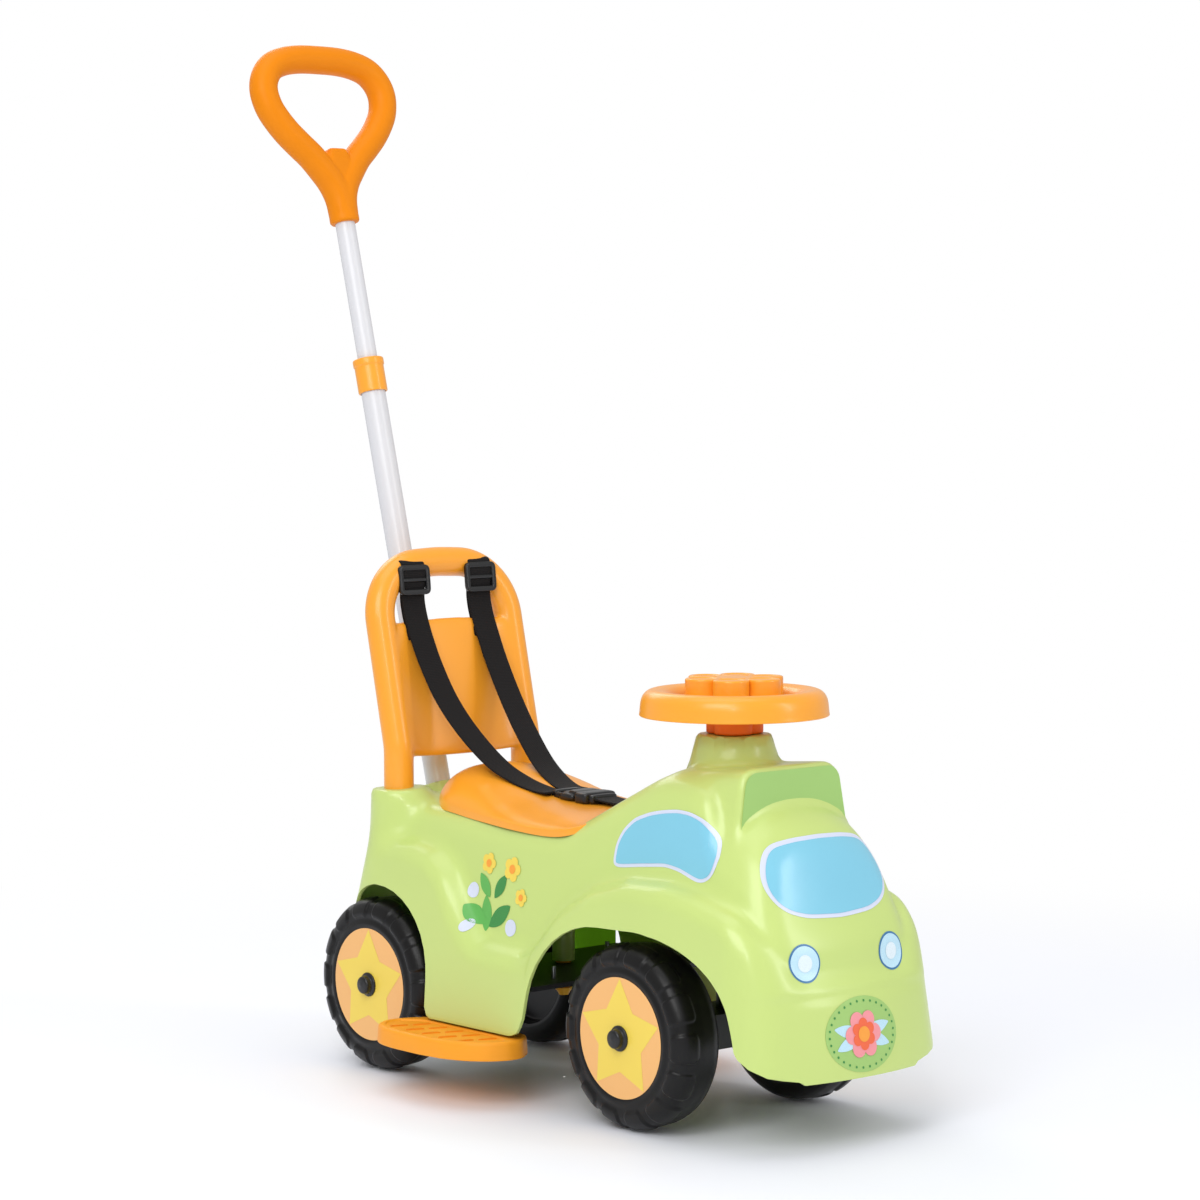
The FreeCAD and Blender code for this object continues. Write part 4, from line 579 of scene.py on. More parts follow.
def body_field(x, y, z):
    """Below 0 inside the body: fenders and upper half joined softly, with brow, turret, sockets and boss."""
    ay = np.abs(y)
    fall = 11.4 * (np.minimum(ay, 72.0) / 48.0) ** 2.4 * ease((x - 250.0) / 26.0)
    top = (z - DECK(x) + fall) / np.sqrt(1.0 + DECK.slope(x) ** 2)
    side = ay - (WAIST_HALF + (WAIST_Z - z) * SIDE_LEAN - np.maximum(x - WAIST_TAPER_X, 0.0) * WAIST_TAPER)
    chin = np.maximum(CHIN_Z - z, 0.0)
    screen = (x - SCREEN(z) + (ay / SCREEN_BOW_Y) ** 2 * SCREEN_BOW + chin) * 0.935
    rear = REAR_WALL_X - x
    upper = soft_max(soft_max(soft_max(top, screen, 32.0), side, 26.0), rear, 30.0)

    wall = ay - HALF_WIDTH(x) + (z - EDGE_Z) * WALL_LEAN
    nose = x - NOSE_X + (ay / NOSE_BOW_Y) ** 2 * NOSE_BOW + (z - EDGE_Z) * NOSE_LEAN
    tail = TAIL_X - x + (z - EDGE_Z) * TAIL_LEAN
    forward = ease((x - 285.0) / 40.0)
    inward = 1.0 - ease((ay - 44.0) / 48.0)
    crest_z = CREST(x) * (1.0 - forward * inward) + RIDGE_Z * forward * inward
    slope = CREST.slope(x) * (1.0 - forward * inward)
    crest = (z - crest_z) / np.sqrt(1.0 + slope ** 2)
    lower = soft_max(soft_max(soft_max(wall, nose, 28.0), tail, 26.0), crest, 17.0)
    field = soft_min(upper, lower, 15.0)

    flank = (ay - brow_half(z)) * 0.96
    face = x - BROW_X - (BROW_Z - z) * BROW_LEAN
    roof = z - BROW_Z + np.maximum(BROW_X - x, 0.0) * BROW_FALL
    brow = soft_max(soft_max(flank, roof, 16.0), soft_max(face, BROW_BACK_X - x, 1.0), 7.0)
    field = soft_min(field, brow, 6.0)

    turret_r = TURRET_WIDE - (z - TURRET_LOW) * (TURRET_WIDE - TURRET_SLIM) / (TURRET_HIGH - TURRET_LOW)
    cone = (np.hypot(x - STEER_X, y) - turret_r) * 0.95
    field = soft_min(field, soft_max(cone, z - TURRET_HIGH, 2.0), 6.0)

    column = np.hypot(x - SOCKET[0], ay - SOCKET[1]) - SOCKET_R - (SOCKET[2] - z) * SOCKET_FLARE
    field = soft_min(field, soft_max(column, z - SOCKET[2], 4.0), 14.0)

    along = (x - TUBE_FOOT[0]) * -math.sin(TUBE_LEAN) + (z - TUBE_FOOT[2]) * math.cos(TUBE_LEAN)
    across = (x - TUBE_FOOT[0]) * math.cos(TUBE_LEAN) + (z - TUBE_FOOT[2]) * math.sin(TUBE_LEAN)
    boss = soft_max(np.hypot(across, y) - BOSS_R, along + BOSS_DROP, 4.0)
    return soft_min(field, boss, 20.0)


def field_at(p):
    """Body field at rows of points."""
    return body_field(p[..., 0], p[..., 1], p[..., 2])


def first_hit(start, way, far, near):
    """Distance along each ray, coming in from far towards near, where the field first turns negative."""
    low, high, previous = (np.full(start.shape[:-1], r) for r in (near, far, far))
    found = np.zeros(start.shape[:-1], bool)
    for r in np.linspace(far, near, RAY_STEPS):
        inside = (field_at(start + way * r) < 0) & ~found
        low = np.where(inside, r, low)
        high = np.where(inside, previous, high)
        found |= inside
        previous = np.where(found, previous, r)
    for _ in range(RAY_HALVINGS):
        mid = (low + high) / 2
        inside = field_at(start + way * mid[..., None]) < 0
        low = np.where(inside, mid, low)
        high = np.where(inside, high, mid)
    return (low + high) / 2


def station_of(x, z):
    """Station number of a point on the body's side: X between the axles, a turn about an axle beyond."""
    rise = np.maximum(z - RAY_Z, 0.5)
    ahead = FRONT_AXLE[0] + STATION_R * np.arctan2(x - FRONT_AXLE[0], rise)
    behind = REAR_AXLE[0] - STATION_R * np.arctan2(REAR_AXLE[0] - x, rise)
    return np.where(x > FRONT_AXLE[0], ahead, np.where(x < REAR_AXLE[0], behind, x))


ARCH_HALF, ARCH_TOP, ARCH_R = 116.0, 162.0, 84.0
REAR_ARCH_X, REAR_ARCH_TOP, REAR_ARCH_R = -49.0, 165.0, 78.0
FORE_ARCH_X, FORE_ARCH_Z = 200.0, 83.0
FORE_ARCH_LONG, FORE_ARCH_HIGH, FORE_ARCH_POWER = 127.0, 80.0, 0.87
REAR_FAN = (-54.0, 0.0, 40)
FRONT_FAN = ((0.0, 17.0, 22), (17.3, 24.0, 34), (25.0, 90.0, 66))
SHELL_WALL, SHELL_RIM = 3.0, 0.9
WELL_FRONT_X, WELL_BACK_X, WELL_Y, WELL_TOP_Z = -47.6, -144.0, 56.5, 192.0


def edge_points():
    """Lower edge of the right side as rows of X, half width and Z, from the tail to the nose corner."""
    rows = [(-180, 54, 92), (-179, 56, 116), (-178, 62, 130), (-177, 82, 136), (-174, 99, 139),
            (-158, 104, 154)]
    turn = np.radians(np.linspace(0, 90, 10))
    for a in turn:
        x = REAR_ARCH_X - REAR_ARCH_R * (1 - math.sin(a))
        rows.append((x, 107, REAR_ARCH_TOP - REAR_ARCH_R * (1 - math.cos(a))))
    rows += [(-48.5, 112, 67), (-45, 114, 60.4), (-40, 114, EDGE_Z), (66, 114, EDGE_Z),
             (74, 114, 61.6), (78.5, 113, 69)]
    left = FRONT_AXLE[0] - ARCH_HALF + ARCH_R
    for a in turn[::-1]:
        rows.append((left - ARCH_R * math.sin(a), 108, ARCH_TOP - ARCH_R * (1 - math.cos(a))))
    for a in turn[:-1]:
        rows.append((FORE_ARCH_X + FORE_ARCH_LONG * math.sin(a) ** FORE_ARCH_POWER, 108,
                     FORE_ARCH_Z + FORE_ARCH_HIGH * math.cos(a) ** FORE_ARCH_POWER))
    rows += [(329.7, 108, 82), (334, 108, 77), (346, 106, 70), (355, 94, 63), (358, 79, 60), (360, 60, 57)]
    return np.array(rows, float)


def body_shell():
    """Rays leave the line between the axles, fan out about each axle at the ends, and stop on the field;
    each station runs from edge to edge over the top, so arches and rims are the grid's own border."""
    rear_fan = np.linspace(*REAR_FAN, endpoint=False)
    front_fan = np.concatenate([np.linspace(*span) for span in FRONT_FAN])
    mid_x = np.linspace(REAR_AXLE[0], FRONT_AXLE[0], 104, endpoint=False)
    mid_x = np.union1d(mid_x, np.linspace(-62.0, -44.0, 29))
    tilt = np.radians(np.concatenate([rear_fan, np.zeros_like(mid_x), front_fan]))
    foot_x = np.concatenate([np.full_like(rear_fan, REAR_AXLE[0]), mid_x,
                             np.full_like(front_fan, FRONT_AXLE[0])])
    number = foot_x + STATION_R * tilt

    edge = edge_points()
    beyond = np.where(edge[:, 0] > FRONT_AXLE[0], FRONT_AXLE[0], np.clip(edge[:, 0], REAR_AXLE[0], None))
    reach = np.hypot(edge[:, 0] - beyond, edge[:, 2] - RAY_Z)
    edge_angle = np.arctan2(reach, edge[:, 1])
    first = np.interp(number, station_of(edge[:, 0], edge[:, 2]), edge_angle)

    share = np.linspace(0.0, 1.0, 38)[None, :]
    shoulder = np.maximum(math.radians(55.0), first + 0.2 * (math.pi / 2 - first))[:, None]
    angle = np.concatenate([first[:, None] + (shoulder - first[:, None]) * share[:, :-1],
                            shoulder + (math.pi / 2 - shoulder) * share], axis=1)
    lean = tilt[:, None]
    way = np.stack([np.sin(lean) * np.sin(angle), -np.cos(angle), np.cos(lean) * np.sin(angle)], axis=-1)
    start = np.stack([foot_x, np.zeros_like(foot_x), np.full_like(foot_x, RAY_Z)], axis=-1)[:, None, :]
    start = np.broadcast_to(start, way.shape)
    half = start + way * first_hit(start, way, 330.0, 30.0)[..., None]
    other = half[:, -2::-1] * np.array([1.0, -1.0, 1.0])
    grid = np.concatenate([half, other], axis=1)
    shell = surface("body_shell_moulding", "chassis", grid, GREEN)
    solidify(stand_in(shell, "body_shell"), SHELL_WALL, SHELL_RIM)


def wheel_wells():
    """Inner walls of the rear wheel wells: a sheet in front of each rear wheel that turns back along it."""
    bend = [(WELL_FRONT_X, 109.0, 0.0), (WELL_FRONT_X, WELL_Y, 0.0), (WELL_BACK_X, WELL_Y, 0.0)]
    plan = rounded_path(bend, [12.0], 2.5)[:, :2]
    foot = 60.0 + 44.0 * ease((-48.0 - plan[:, 0]) / 18.0)
    z = foot[:, None] + (WELL_TOP_Z - foot[:, None]) * np.linspace(0.0, 1.0, 24)
    x, y = (np.broadcast_to(plan[:, i:i + 1], z.shape) for i in range(2))
    y = np.minimum(y, 99.0 - 0.36 * np.maximum(z - 112.0, 0.0))
    for side, sign in SIDES:
        grid = np.stack([x, sign * y, z], axis=-1)
        # The walls take a brighter green with a glow: painted light where they lie in shade.
        wall = surface("rear_well_" + side, "chassis", grid, WELL_GREEN_PAINTED_GLOW, flip=sign < 0)
        solidify(stand_in(wall), 1.6)


body_shell()
wheel_wells()

# Pieces laid on the body: windows, lamps, badge and sprig


STICKER_LIFT = 0.3


def on_body(points, way, far=260.0):
    """Moves rows of points against a direction until they lie on the body, a hair proud of it."""
    way = np.broadcast_to(way, points.shape)
    hits = points + way * first_hit(points, way, far, -far)[..., None]
    return hits + surface_normal(hits) * STICKER_LIFT


def surface_normal(p, span=0.5):
    """Outward direction of the body field by central differences."""
    slopes = [field_at(p + axis) - field_at(p - axis) for axis in np.eye(3) * span]
    return unit(np.stack(slopes, axis=-1))


def fan(outline, rows=14):
    """Radial grid of an outline drawn in towards its centre, rows from the rim to the middle point."""
    centre = outline.mean(axis=0)
    share = np.linspace(1.0, 0.0, rows)[:, None, None]
    return centre + (outline - centre) * share


def fan_uv(grid):
    """Outline plane coordinates of a fan scaled to 0 to 1 over its own box."""
    flat = grid.reshape(-1, 2)
    low, high = flat.min(axis=0), flat.max(axis=0)
    return (grid - low) / (high - low)


def side_sticker(name, outline, side, material, lift=0.0):
    """Outline in X and Z laid on one side of the body along Y."""
    grid = fan(outline)
    points = np.stack([grid[..., 0], np.zeros(grid.shape[:2]), grid[..., 1]], axis=-1)
    laid = on_body(points, (0.0, side, 0.0))
    laid[..., 1] += side * lift
    laid_piece(name, laid, grid, material, side > 0)


def front_sticker(name, outline, material, lift=0.0):
    """Outline in Y and Z laid on the nose along X."""
    grid = fan(outline)
    points = np.stack([np.full(grid.shape[:2], 250.0), grid[..., 0], grid[..., 1]], axis=-1)
    laid = on_body(points, (1.0, 0.0, 0.0), 200.0)
    laid[..., 0] += lift
    laid_piece(name, laid, grid, material, True)


def laid_piece(name, laid, grid, material, flip):
    """One sticker as a thin surface of its own."""
    obj = surface(name, "chassis", laid, material, wrap_v=True, flip=flip, uv=fan_uv(grid))
    stand_in(obj)


def polar(u, v, radius, angle):
    """Points about u, v at given distances and angles."""
    return np.stack([u + radius * np.cos(angle), v + radius * np.sin(angle)], axis=1)


def circle(u, v, radius, count=96):
    """Round outline."""
    return polar(u, v, radius, full_turn(count))


def star(u, v, radius, waist, soft=0.6):
    """Plain upright five-pointed star, its tips a little rounded."""
    a = np.radians(90.0) + np.arange(10) * math.pi / 5
    r = np.where(np.arange(10) % 2 == 0, radius, radius * waist)
    return closed_loop(polar(u, v, r, a), soft, 200)


def leaf(u, v, length, width, turn):
    """Almond outline from its stalk at u, v along a direction."""
    t = np.linspace(0.0, 1.0, 40)
    half = width / 2 * np.sin(math.pi * t) ** 0.8
    along = np.concatenate([t, t[::-1]]) * length
    across = np.concatenate([half, -half[::-1]])
    c, s = math.cos(math.radians(turn)), math.sin(math.radians(turn))
    return closed_loop(np.stack([u + along * c - across * s, v + along * s + across * c], axis=1), 0.4, 120)


def blossom(u, v, radius, petals=5, turn=0.0):
    """Round-petalled flower: the radius swells and sinks once for each petal."""
    a = full_turn(160)
    r = radius * (0.72 + 0.28 * np.abs(np.cos(petals * (a - math.radians(turn)) / 2)) ** 0.7)
    return polar(u, v, r, a)


def inset(outline, depth):
    """Outline moved inwards by depth along its own normals."""
    ahead, behind = np.roll(outline, -1, axis=0), np.roll(outline, 1, axis=0)
    tangent = unit(ahead - behind)
    area = np.sum(outline[:, 0] * ahead[:, 1] - ahead[:, 0] * outline[:, 1])
    inward = np.stack([-tangent[:, 1], tangent[:, 0]], axis=1) * np.sign(area)
    return outline + inward * depth


SIDE_WINDOW = [(158, 206), (160, 224), (167, 236), (179, 246), (196, 252), (211, 255), (228, 257), (243, 256),
               (257, 252), (266, 244), (273, 236), (275.5, 224), (274, 211), (269, 205), (261, 202),
               (252, 204), (235, 209), (219, 211), (190, 208), (165, 205)]
SCREEN_RIGHT = [(0, 239), (-26, 238), (-46, 235), (-54, 230), (-61, 219), (-64.5, 207), (-64, 199),
                (-59, 189.5), (-50, 183), (-34, 178.5), (0, 176.5)]
WINDSCREEN = SCREEN_RIGHT + [(-y, z) for y, z in SCREEN_RIGHT[-2:0:-1]]
LAMP = (46.8, 146.0, 14.8)
BADGE = (0.0, 88.0, 29.0)


def windows():
    """Blue panes with a pale border on the nose and on both sides."""
    pane = closed_loop(WINDSCREEN, 5.0, 200)
    front_sticker("windscreen_border", pane, PALE_BORDER)
    front_sticker("windscreen_pane", inset(pane, 3.0), SKY_BLUE, 0.25)
    pane = closed_loop(SIDE_WINDOW, 4.0, 200)
    for side, sign in SIDES:
        side_sticker("side_window_border_" + side, pane, sign, PALE_BORDER)
        side_sticker("side_window_pane_" + side, inset(pane, 2.8), sign, SKY_BLUE, 0.25)


def lamps():
    """Round lamps: a dark ring under a pale disc with a bright middle."""
    for side, sign in SIDES:
        y, z, radius = LAMP[0] * sign, LAMP[1], LAMP[2]
        front_sticker("lamp_ring_" + side, circle(y, z, radius), RING_BLUE)
        front_sticker("lamp_lens_" + side, circle(y, z, radius - 1.5), LAMP_BLUE, 0.25)
        front_sticker("lamp_middle_" + side, circle(y, z, radius * 0.45), LAMP_WHITE, 0.5)


def oval(u, v, wide, high, count=120):
    """Oval outline."""
    return np.array([u, v]) + circle(0.0, 0.0, 1.0, count) * [wide, high]


def badge():
    """Oval flower badge on the nose: dotted green ground, pink petals, orange heart and pale leaves."""
    y, z, high = BADGE
    wide = 1.32 * high
    front_sticker("badge_ground", oval(y, z, wide, high), DARK_GREEN)
    for i in range(30):
        a = math.radians(12.0 * i)
        dot = circle(y + 0.9 * wide * math.cos(a), z + 0.88 * high * math.sin(a), 1.0, 16)
        front_sticker("badge_dot_%02d" % i, dot, LEAF_DARK, 0.25)
    for i, turn in enumerate((168.0, 200.0, 340.0, 12.0)):
        front_sticker("badge_leaf_%d" % i, leaf(y, z, 30.0, 10.0, turn), LAMP_BLUE, 0.2 + 0.1 * (i % 2))
    front_sticker("badge_petals", blossom(y, z, 19.0, 6), PINK, 0.5)
    front_sticker("badge_ring", blossom(y, z, 12.5, 6, 30.0), CORAL, 0.75)
    front_sticker("badge_heart", circle(y, z, 6.0, 48), SUN_ORANGE, 1.0)


SPRIG = [(8, 136, 100, 30, 13), (10, 140, 38, 32, 14), (6, 142, 150, 28, 13), (14, 164, 58, 24, 11),
         (8, 164, 128, 24, 11)]
SPRIG_BLOSSOMS = [(34, 190, 10.5), (3, 192, 9.0), (48, 168, 7.5)]
SPRIG_PUFFS = [(-14, 168, 6.5), (38, 142, 7.0), (-8, 140, 5.0)]


def sprigs():
    """Sprig of leaves with blossoms and pale dots on both sides of the body."""
    for side, sign in SIDES:
        for i, (x, z, turn, length, width) in enumerate(SPRIG):
            look = LEAF_DARK if i % 2 else LEAF_GREEN
            outline = leaf(x, z, length, width, turn)
            side_sticker("sprig_leaf_%d_%s" % (i, side), outline, sign, look, 0.05 * i)
        for i, (x, z, radius) in enumerate(SPRIG_BLOSSOMS):
            heart = circle(x, z, 0.36 * radius, 40)
            side_sticker("sprig_petals_%d_%s" % (i, side), blossom(x, z, radius), sign, STAR_YELLOW, 0.3)
            side_sticker("sprig_heart_%d_%s" % (i, side), heart, sign, SUN_ORANGE, 0.5)
        for i, (x, z, radius) in enumerate(SPRIG_PUFFS):
            side_sticker("sprig_dot_%d_%s" % (i, side), circle(x, z, radius, 48), sign, PALE_BORDER, 0.1)


def brow_panel():
    """Darker face of the brow: a flat sheet with rounded top corners whose foot dips into the hood."""
    low, high = BROW_Z - 58.0, BROW_Z - 3.6
    half = [brow_half(low) - 3.0, brow_half(high) - 3.0]
    sheet = [(0, -half[0], low), (0, -half[1], high), (0, half[1], high), (0, half[0], low)]
    flat = rounded_path(sheet, [13.0, 13.0])
    flat = np.concatenate([flat, flat[::-1] * [1, 1, 0] + [0, 0, low]])[:, 1:]
    drop = np.stack([np.full(len(flat), BROW_X + 3.5), flat[:, 0], np.full(len(flat), 200.0)], axis=-1)
    hood = 200.0 + first_hit(drop, np.broadcast_to([0.0, 0.0, 1.0], drop.shape), 110.0, 0.0)
    flat[:, 1] = np.maximum(flat[:, 1], np.minimum(hood - 3.0, high - 12.0))
    flat = resample(np.concatenate([flat, flat[:1]]), 1.5)[:-1]
    grid = fan(flat)
    x = BROW_X + (BROW_Z - grid[..., 1]) * BROW_LEAN + STICKER_LIFT
    laid_piece("brow_panel", np.stack([x, grid[..., 0], grid[..., 1]], axis=-1), grid, DARK_GREEN, False)


windows()
lamps()
badge()
sprigs()
brow_panel()

# Seat, backrest and push handle

SEAT_RIGHT = [(-121, -30), (-108, -50), (-82, -68), (20, -78), (99, -77), (127, -64), (139, -42)]
SEAT_PLAN = SEAT_RIGHT + [(x, -y) for x, y in SEAT_RIGHT[::-1]]
SEAT_LINE = Profile([(-140, 266), (-112, 270), (-84, 268), (-44, 256), (-4, 244), (44, 239.5), (96, 240.5),
                     (124, 246), (150, 254)], 12.0)
SEAT_EDGE = Profile([(-140, 233), (-70, 233), (-40, 230), (60, 225), (92, 226), (140, 243)], 12.0)


def seat():
    """Saddle: the plan drawn in to its middle; height runs from the edge line to the crowned middle line by a
    rounded shoulder, one minus the fifth power of the share of the way out."""
    outline = closed_loop(SEAT_PLAN, 9.0, 200)
    share = np.concatenate([[1.0, 1.0], np.sin(np.linspace(1.0, 0.0, 48) * math.pi / 2)])
    spot = np.array([10.0, 0.0]) + (outline - [10.0, 0.0]) * share[:, None, None]
    x, y = spot[..., 0], spot[..., 1]
    crown = SEAT_LINE(x) - (9.0 + 11.0 * ease((-30.0 - x) / 60.0)) * np.abs(y / 78.0) ** 2.3
    edge = SEAT_EDGE(x)
    rise = (1.0 - np.clip(share, 0, 1) ** 5)[:, None] ** 0.5
    z = edge + (np.maximum(crown, edge + 4.0) - edge) * rise
    z[0] -= 5.0
    obj = welded(surface("seat_saddle", "chassis", np.stack([x, y, z], axis=-1), ORANGE, wrap_v=True))
    stand_in(obj, "seat")


POST = np.array([-136.4, 71.0, 205.0])
KNEE_Z = 277.0
BACK_LEAN = math.radians(12.8)
BACK_UP = np.array([-math.sin(BACK_LEAN), 0.0, math.cos(BACK_LEAN)])
BACK_OUT = np.array([math.cos(BACK_LEAN), 0.0, math.sin(BACK_LEAN)])
RAIL_RISE, RAIL_ARCH = 158.6, 3.2
RAIL_BEND, KNEE_BEND = 50.0, 40.0
POST_R = 13.0
PANEL_LOW, PANEL_HIGH = -8.0, 108.0
PANEL_HALF = 66.0


def backrest():
    """Bent round frame with a panel that sweeps up into its posts, melted into one moulding."""
    knee = np.array([POST[0], 0.0, KNEE_Z])
    across = np.array([0.0, POST[1], 0.0])
    top = knee + BACK_UP * RAIL_RISE
    corner_line = [POST * [1, -1, 1], knee - across, top - across, top + BACK_UP * RAIL_ARCH,
                   top + across, knee + across, POST]
    path = rounded_path(corner_line, [KNEE_BEND, RAIL_BEND, 150.0, RAIL_BEND, KNEE_BEND])
    frame_bar = capped(tube(path, POST_R, BACK_OUT))

    y = np.linspace(-PANEL_HALF, PANEL_HALF, 60)
    turn = full_turn(96)
    mid, half = (PANEL_LOW + PANEL_HIGH) / 2, (PANEL_HIGH - PANEL_LOW) / 2
    bow = 1.0 - (y / PANEL_HALF) ** 2
    up = mid + (half + 2.5 * bow[:, None]) * signed_power(np.cos(turn), 0.22)[None, :]
    sweep = 7.0 * np.clip((np.abs(y) - 38.0) / 26.0, 0.0, 1.0) ** 2
    front = np.clip(np.sin(turn), 0.0, 1.0) ** 0.5
    thick = 5.0 * signed_power(np.sin(turn), 0.5)
    out = 4.0 * bow[:, None] - 1.0 + thick + sweep[:, None] * front
    lean = knee + up[..., None] * BACK_UP + out[..., None] * BACK_OUT
    panel = capped(lean + y[:, None, None] * np.array([0.0, 1.0, 0.0]))
    obj = joined("backrest_moulding", "chassis", [frame_bar, panel], ORANGE)
    fuse(obj, 1.5, 8)
    stand_in(obj, "backrest")


TUBE_UP = np.array([-math.sin(TUBE_LEAN), 0.0, math.cos(TUBE_LEAN)])
TUBE_OUT = np.array([math.cos(TUBE_LEAN), 0.0, math.sin(TUBE_LEAN)])
GRIP_LINE = [(0, 654.6), (22, 654), (40, 651), (54, 645), (63, 634.5), (66.5, 622), (64, 607.5),
             (57.5, 595.5), (48.2, 583.5), (37, 572.3), (26, 562), (16, 549.5), (8, 538), (3, 526),
             (0.8, 514), (0, 505)]
GRIP_R = 12.9
GRIP_LOW = 499.5
GRIP_WEB = (11.0, 500.0, 569.0, 10.6)
TUBE_R, SLIM_R = 11.0, 9.0
# Rows of a section at one height are set apart by this step, so that a path through them has a direction
ROW_STEP = 1e-4


def on_handle(y, up):
    """Point of the handle's own plane, up along the tube from where it meets the body."""
    return TUBE_FOOT + TUBE_UP * up + np.array([0.0, y, 0.0])


def push_grip():
    """Heart-shaped loop of a round bar whose two legs run together in a neck, with a flat web in the fork
    and a lip round the foot, melted into one soft moulding."""
    right = [on_handle(-y, up) for y, up in GRIP_LINE[::-1]]
    left = [on_handle(y, up) for y, up in GRIP_LINE[1:]]
    loop = capped(tube(curve_through(right + left, 2.0), GRIP_R, TUBE_OUT))
    up = GRIP_LOW + np.array([0.0, 1.0, 5.5, 7.5, 20.0, 34.0, 46.0])
    radius = np.array([12.6, 13.5, 13.6, 12.7, 12.5, 12.5, 9.0])
    neck = capped(tube(np.array([on_handle(0, u) for u in up]), radius, TUBE_OUT))
    half, low, high, thick = GRIP_WEB
    flat = rounded_box((-half, low, -thick), (half, high, thick), 0.25)
    web = on_handle(0, 0) + flat @ np.array([[0.0, 1.0, 0.0], TUBE_UP, TUBE_OUT])
    # The grip takes a deeper orange than the other mouldings: painted shade.
    obj = joined("push_grip_moulding", "handle", [loop, neck, web], GRIP_PAINTED_SHADE_ORANGE)
    fuse(obj, 1.2, 8)
    stand_in(obj, "push_grip")


def plain_tube(node_name, name, body, radius, low, high):
    """Steel tube with a small chamfer at each end."""
    up = np.array([low, low, low + 0.8, high - 0.8, high, high])
    r = np.array([radius - 1.6, radius - 0.8, radius, radius, radius - 0.8, radius - 1.6])
    path = np.array([on_handle(0, u) + TUBE_UP * ROW_STEP * i for i, u in enumerate(up)])
    ring = tube(path, r, TUBE_OUT, 64)
    obj = welded(surface(name, body, capped(ring), WHITE, wrap_v=True, sharp=40), turn_out=True)
    stand_in(obj, node_name)


def reach_on_tube(node_name):
    """Lowest and highest place of a CAD node along the handle's tube, from its box."""
    low, high = corners(node_name)
    return (low[2] - TUBE_FOOT[2]) / TUBE_UP[2], (high[2] - TUBE_FOOT[2]) / TUBE_UP[2]


seat()
backrest()
push_grip()
for cad_name, plain_name, rides, r in (("push_tube_lower", "lower_tube", "chassis", TUBE_R),
                                       ("push_tube_upper", "upper_tube", "handle", SLIM_R)):
    plain_tube(cad_name, plain_name, rides, r, *reach_on_tube(cad_name))

# Wheels

LUGS = 14
LUG_RISE = 1.5
LUG_HALF = 6.8
PAD_LOW_Y, PAD_LOW_R, PAD_TREAD_R = 5.0, 59.0, 72.0
TYRE_SECTION = [(22.6, 9.6), (22.6, 47.0), (23.3, 49.2), (24.0, 50.2), (24.0, 53.2), (23.0, 55.0),
                (22.6, 57.5), (23.2, 60.0), (22.4, 64.0), (20.0, 68.4), (16.0, 71.4), (11.0, 73.0),
                (0.0, 73.7), (-11.0, 73.0), (-16.0, 71.4), (-20.0, 68.4), (-22.6, 64.0), (-23.6, 58.0),
                (-23.4, 55.6), (-21.0, 54.6), (-8.0, 53.6), (-8.0, 13.6), (-23.0, 13.0), (-23.0, 6.0)]


def tyre(end, side, sign):
    """Section spun about the axle; pads rise on the outer shoulder by a smooth step at the border of a
    rounded rectangle, measured along the section and round the wheel."""
    cad = "%s_wheel_%s" % (end, side)
    line = resample(np.array(TYRE_SECTION), 1.4)
    bell = np.array([1.0, 2.0, 1.0]) / 4.0
    y, r = (np.convolve(np.pad(column, 1, mode="edge"), bell, mode="valid") for column in line.T)
    along = run_along(np.stack([y, r], axis=1))
    slope = unit(np.stack([np.gradient(r), -np.gradient(y)], axis=1))
    turn = full_turn(LUGS * 28)
    place = (turn * LUGS / (2 * math.pi)) % 1.0 - 0.5
    arc = np.abs(place) * 2 * math.pi * PAD_TREAD_R / LUGS
    pad = (y > PAD_LOW_Y) & (r > PAD_LOW_R)
    reach = np.abs(along - along[pad].mean()) - (np.ptp(along[pad]) / 2 - 4.5)
    corner = np.hypot(np.maximum(reach, 0.0)[:, None], np.maximum(arc - LUG_HALF, 0.0)[None, :])
    rise = LUG_RISE * ease((5.2 - corner) / 1.2)
    yy = y[:, None] + slope[:, :1] * rise
    rr = r[:, None] + slope[:, 1:] * rise
    grid = middle(cad) + np.stack([rr * np.sin(turn), sign * yy, rr * np.cos(turn)], axis=-1)
    body = "wheel_%s_%s" % (end, side)
    obj = surface("tyre_%s_%s" % (end, side), body, grid, BLACK, wrap_v=True, flip=sign < 0)
    stand_in(welded(obj, turn_out=True), cad)


def star_disc(end, side, sign):
    """Peach disc in the wheel's face with a plain star that reaches its rim."""
    cad = "%s_disc_%s" % (end, side)
    low, high = corners(cad)
    centre, face = (low + high) / 2, (high[1] if sign > 0 else low[1])
    body = "wheel_%s_%s" % (end, side)
    disc_r = (high[2] - low[2]) / 2
    for name, outline, lift, look, replaced in (
        ("disc", circle(0, 0, disc_r, 128), 0.0, PEACH, cad),
        ("star", star(0, 0, disc_r - 0.8, 0.56), 0.12, STAR_YELLOW, None),
    ):
        flat = fan(outline, 10)
        crown = 0.5 * (1.0 - (np.hypot(flat[..., 0], flat[..., 1]) / disc_r) ** 2)
        depth = face + sign * (crown + lift - 0.4)
        grid = np.stack([centre[0] + flat[..., 0], depth, centre[2] + flat[..., 1]], axis=-1)
        obj = surface("wheel_%s_%s_%s" % (name, end, side), body, grid, look, wrap_v=True, flip=sign > 0)
        stand_in(obj, replaced)


for wheel_end in ("front", "rear"):
    for wheel_side, wheel_sign in SIDES:
        tyre(wheel_end, wheel_side, wheel_sign)
        star_disc(wheel_end, wheel_side, wheel_sign)

# Steering wheel, footrests and turned pieces

